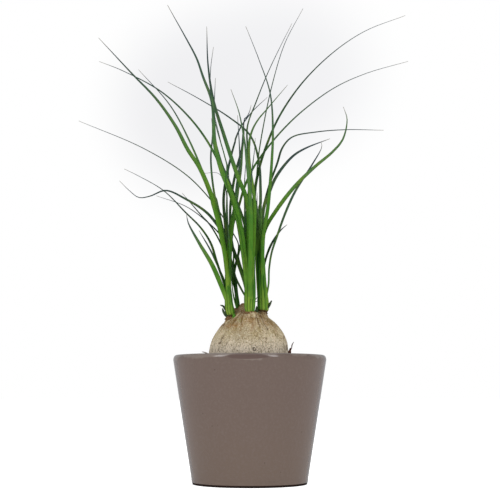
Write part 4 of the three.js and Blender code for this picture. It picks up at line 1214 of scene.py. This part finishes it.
def stem_mesh(name, stem, sheaths):
    """The roll of leaf feet: each wraps the stem and overlaps the next."""
    def lobes(angle, s):
        _, share, _ = sheath_at(sheaths, math.degrees(angle), s)
        closing = math.sqrt(max(1 - (max(s - 0.9, 0) / 0.1) ** 2, 0.004))
        return (1 + 0.16 * (share - 0.5) + 0.05 * math.sin(math.pi * share)) * closing

    rings = rod_rings(stem, STEM_SIDES, STEM_RINGS, lobes)
    centres = [sum(ring, Vector()) / STEM_SIDES for ring in rings]
    mesh = smooth_mesh(name, *skin(rings))
    rises, darks, overlap_shades = [], [], []
    for i, centre in enumerate(centres):
        for k in range(STEM_SIDES):
            dark, _, across = sheath_at(sheaths, 360 * k / STEM_SIDES, i / (STEM_RINGS - 1))
            rises.append(centre.z - centres[0].z)
            darks.append(dark)
            # Painted shade, strongest just under the edge that overlaps.
            overlap_shades.append(math.exp(-(across / 7) ** 2))
    paint(mesh, "rise", rises)
    paint(mesh, "dark", darks)
    paint(mesh, "overlap_shade", overlap_shades)
    mesh.materials.append(FOOT)
    return mesh


def make_shoot(name, tree):
    """One tuft: its leaf feet, blades, dried stubs and hairs, and the bud by the left."""
    meshes = [stem_mesh(name + "_feet", SHOOTS[name]["stem"], SHEATHS[name])]
    for i, blade in enumerate(SHOOTS[name]["blades"]):
        meshes.append(blade_mesh(f"{name}_blade_{i + 1}", tree, *blade))
    for table, label, sides, count in ((STUBS, "_stub", 12, 20), (HAIRS, "_hair", 8, 12)):
        for stations in table.get(name, []):
            meshes.append(rod(name + label, stations, sides, count, DEAD_STUB))
    if name == "shoot_left":
        bud = rod(name + "_bud", BUD, 24, 24, FOOT)
        for label, value in (("rise", 6.0), ("dark", 0.6), ("overlap_shade", 0.0)):
            paint(bud, label, [value] * len(bud.vertices))
        meshes.append(bud)
    place(name + "_leaves", joined(name + "_leaves", meshes), name)


# ------------------------------------------------------------------ scraps

def knobbly_rod(name, stations, material, seed):
    """A crooked, knobbly bit of dead root or twig."""
    def knobs(angle, s):
        turn = Vector((math.cos(angle), math.sin(angle), s * 7 + seed))
        return 1 + 0.45 * noise.noise(turn * 1.3) + 0.25 * noise.noise(turn * 3.7)

    return rod(name, stations, 16, 26, material, knobs)


def make_scraps():
    chip = [knobbly_rod("chip", [(-39.5, 4, 109.5, 1.3), (-40.3, 2, 114.5, 1.6),
                                 (-39.6, 1, 118.4, 1)], DRY_ROOT, 1),
            knobbly_rod("sliver", [(-39.2, 1.2, 117.6, 0.5), (-41.6, 0.4, 118.8, 0.45),
                                   (-44, 0, 119.3, 0.25)], PALE_SLIVER, 4)]
    place("bark_chip_scrap", joined("bark_chip_scrap", chip), "bark_chip")
    root = [knobbly_rod("knot", [(38.6, 3, 108.5, 1), (36.8, 1, 114, 1.5), (36.4, 0, 118.6, 1.5),
                                 (37.4, 0, 121.8, 0.9), (38.6, 0, 122.6, 0.4)], DRY_ROOT, 7),
            knobbly_rod("twig", [(37, 0, 120, 0.5), (38.4, 0, 123, 0.42), (38.8, 0, 125.4, 0.5),
                                 (40.2, 0, 128.2, 0.3)], DRY_ROOT, 11)]
    place("dry_root_scrap", joined("dry_root_scrap", root), "root_scrap")


# ------------------------------------------------------------------ studio

def make_camera():
    data = bpy.data.cameras.new("camera")
    data.lens = LENS_MM
    data.sensor_width = 36
    data.clip_end = 20
    camera = link_in(bpy.data.objects.new("camera", data))
    camera.location = CAMERA_PLACE
    camera.rotation_euler = (math.radians(90 + CAMERA_TILT), 0, 0)
    bpy.context.scene.camera = camera


def soft_box(name, azimuth, elevation, distance, size, radiance):
    """A rectangular soft box that faces the plant."""
    data = bpy.data.lights.new(name, "AREA")
    data.shape = "RECTANGLE"
    data.size, data.size_y = size
    data.energy = radiance * math.pi * size[0] * size[1]
    light = link_in(bpy.data.objects.new(name, data))
    level = distance * math.cos(math.radians(elevation))
    light.location = (level * math.sin(math.radians(azimuth)),
                      -level * math.cos(math.radians(azimuth)),
                      AIM_HEIGHT + distance * math.sin(math.radians(elevation)))
    aim = Vector((0, 0, AIM_HEIGHT)) - light.location
    light.rotation_euler = aim.to_track_quat("-Z", "Y").to_euler()


def make_studio():
    """A white floor in a white room that is dimmer than its backdrop, with two
    tall soft boxes in front and a wide one overhead."""
    mesh = bpy.data.meshes.new("floor")
    corners = ((-1, -1), (1, -1), (1, 1), (-1, 1))
    mesh.from_pydata([(x * FLOOR_REACH, y * FLOOR_REACH, 0) for x, y in corners], [],
                     [(0, 1, 2, 3)])
    mesh.materials.append(glowing_white("lit_white_floor"))
    floor = link_in(bpy.data.objects.new("floor", mesh))
    floor.visible_glossy = False
    world = bpy.data.worlds.new("white room")
    world.use_nodes = True
    tree = world.node_tree
    tree.nodes.clear()
    ahead = node(tree, "TexCoord", out="Generated")
    layers = []
    for location, scale, tone in BACKDROP_PATCHES:
        patch = node(tree, "Mapping", {"Vector": ahead, "Location": location, "Scale": scale})
        patch = node(tree, "VectorMath:LENGTH", [patch], out="Value")
        layers.append((patch, 1, 0.3, 1, tone))
    backdrop = node(tree, "Background", {"Color": layered(tree, "#FFFFFF", layers)})
    room = node(tree, "Background", {"Color": "#F6FAFF", "Strength": 0.5})
    straight = node(tree, "LightPath", out="Is Camera Ray")
    both = node(tree, "MixShader", [straight, room, backdrop])
    node(tree, "OutputWorld", {"Surface": both})
    bpy.context.scene.world = world
    for box in SOFT_BOXES:
        soft_box(*box)


bpy.context.scene.view_settings.view_transform = "Standard"
make_camera()
make_studio()
make_pot()
make_soil()
make_bulb()
BLADE_TREE = blade_tree()
for shoot in SHOOTS:
    make_shoot(shoot, BLADE_TREE)
make_scraps()
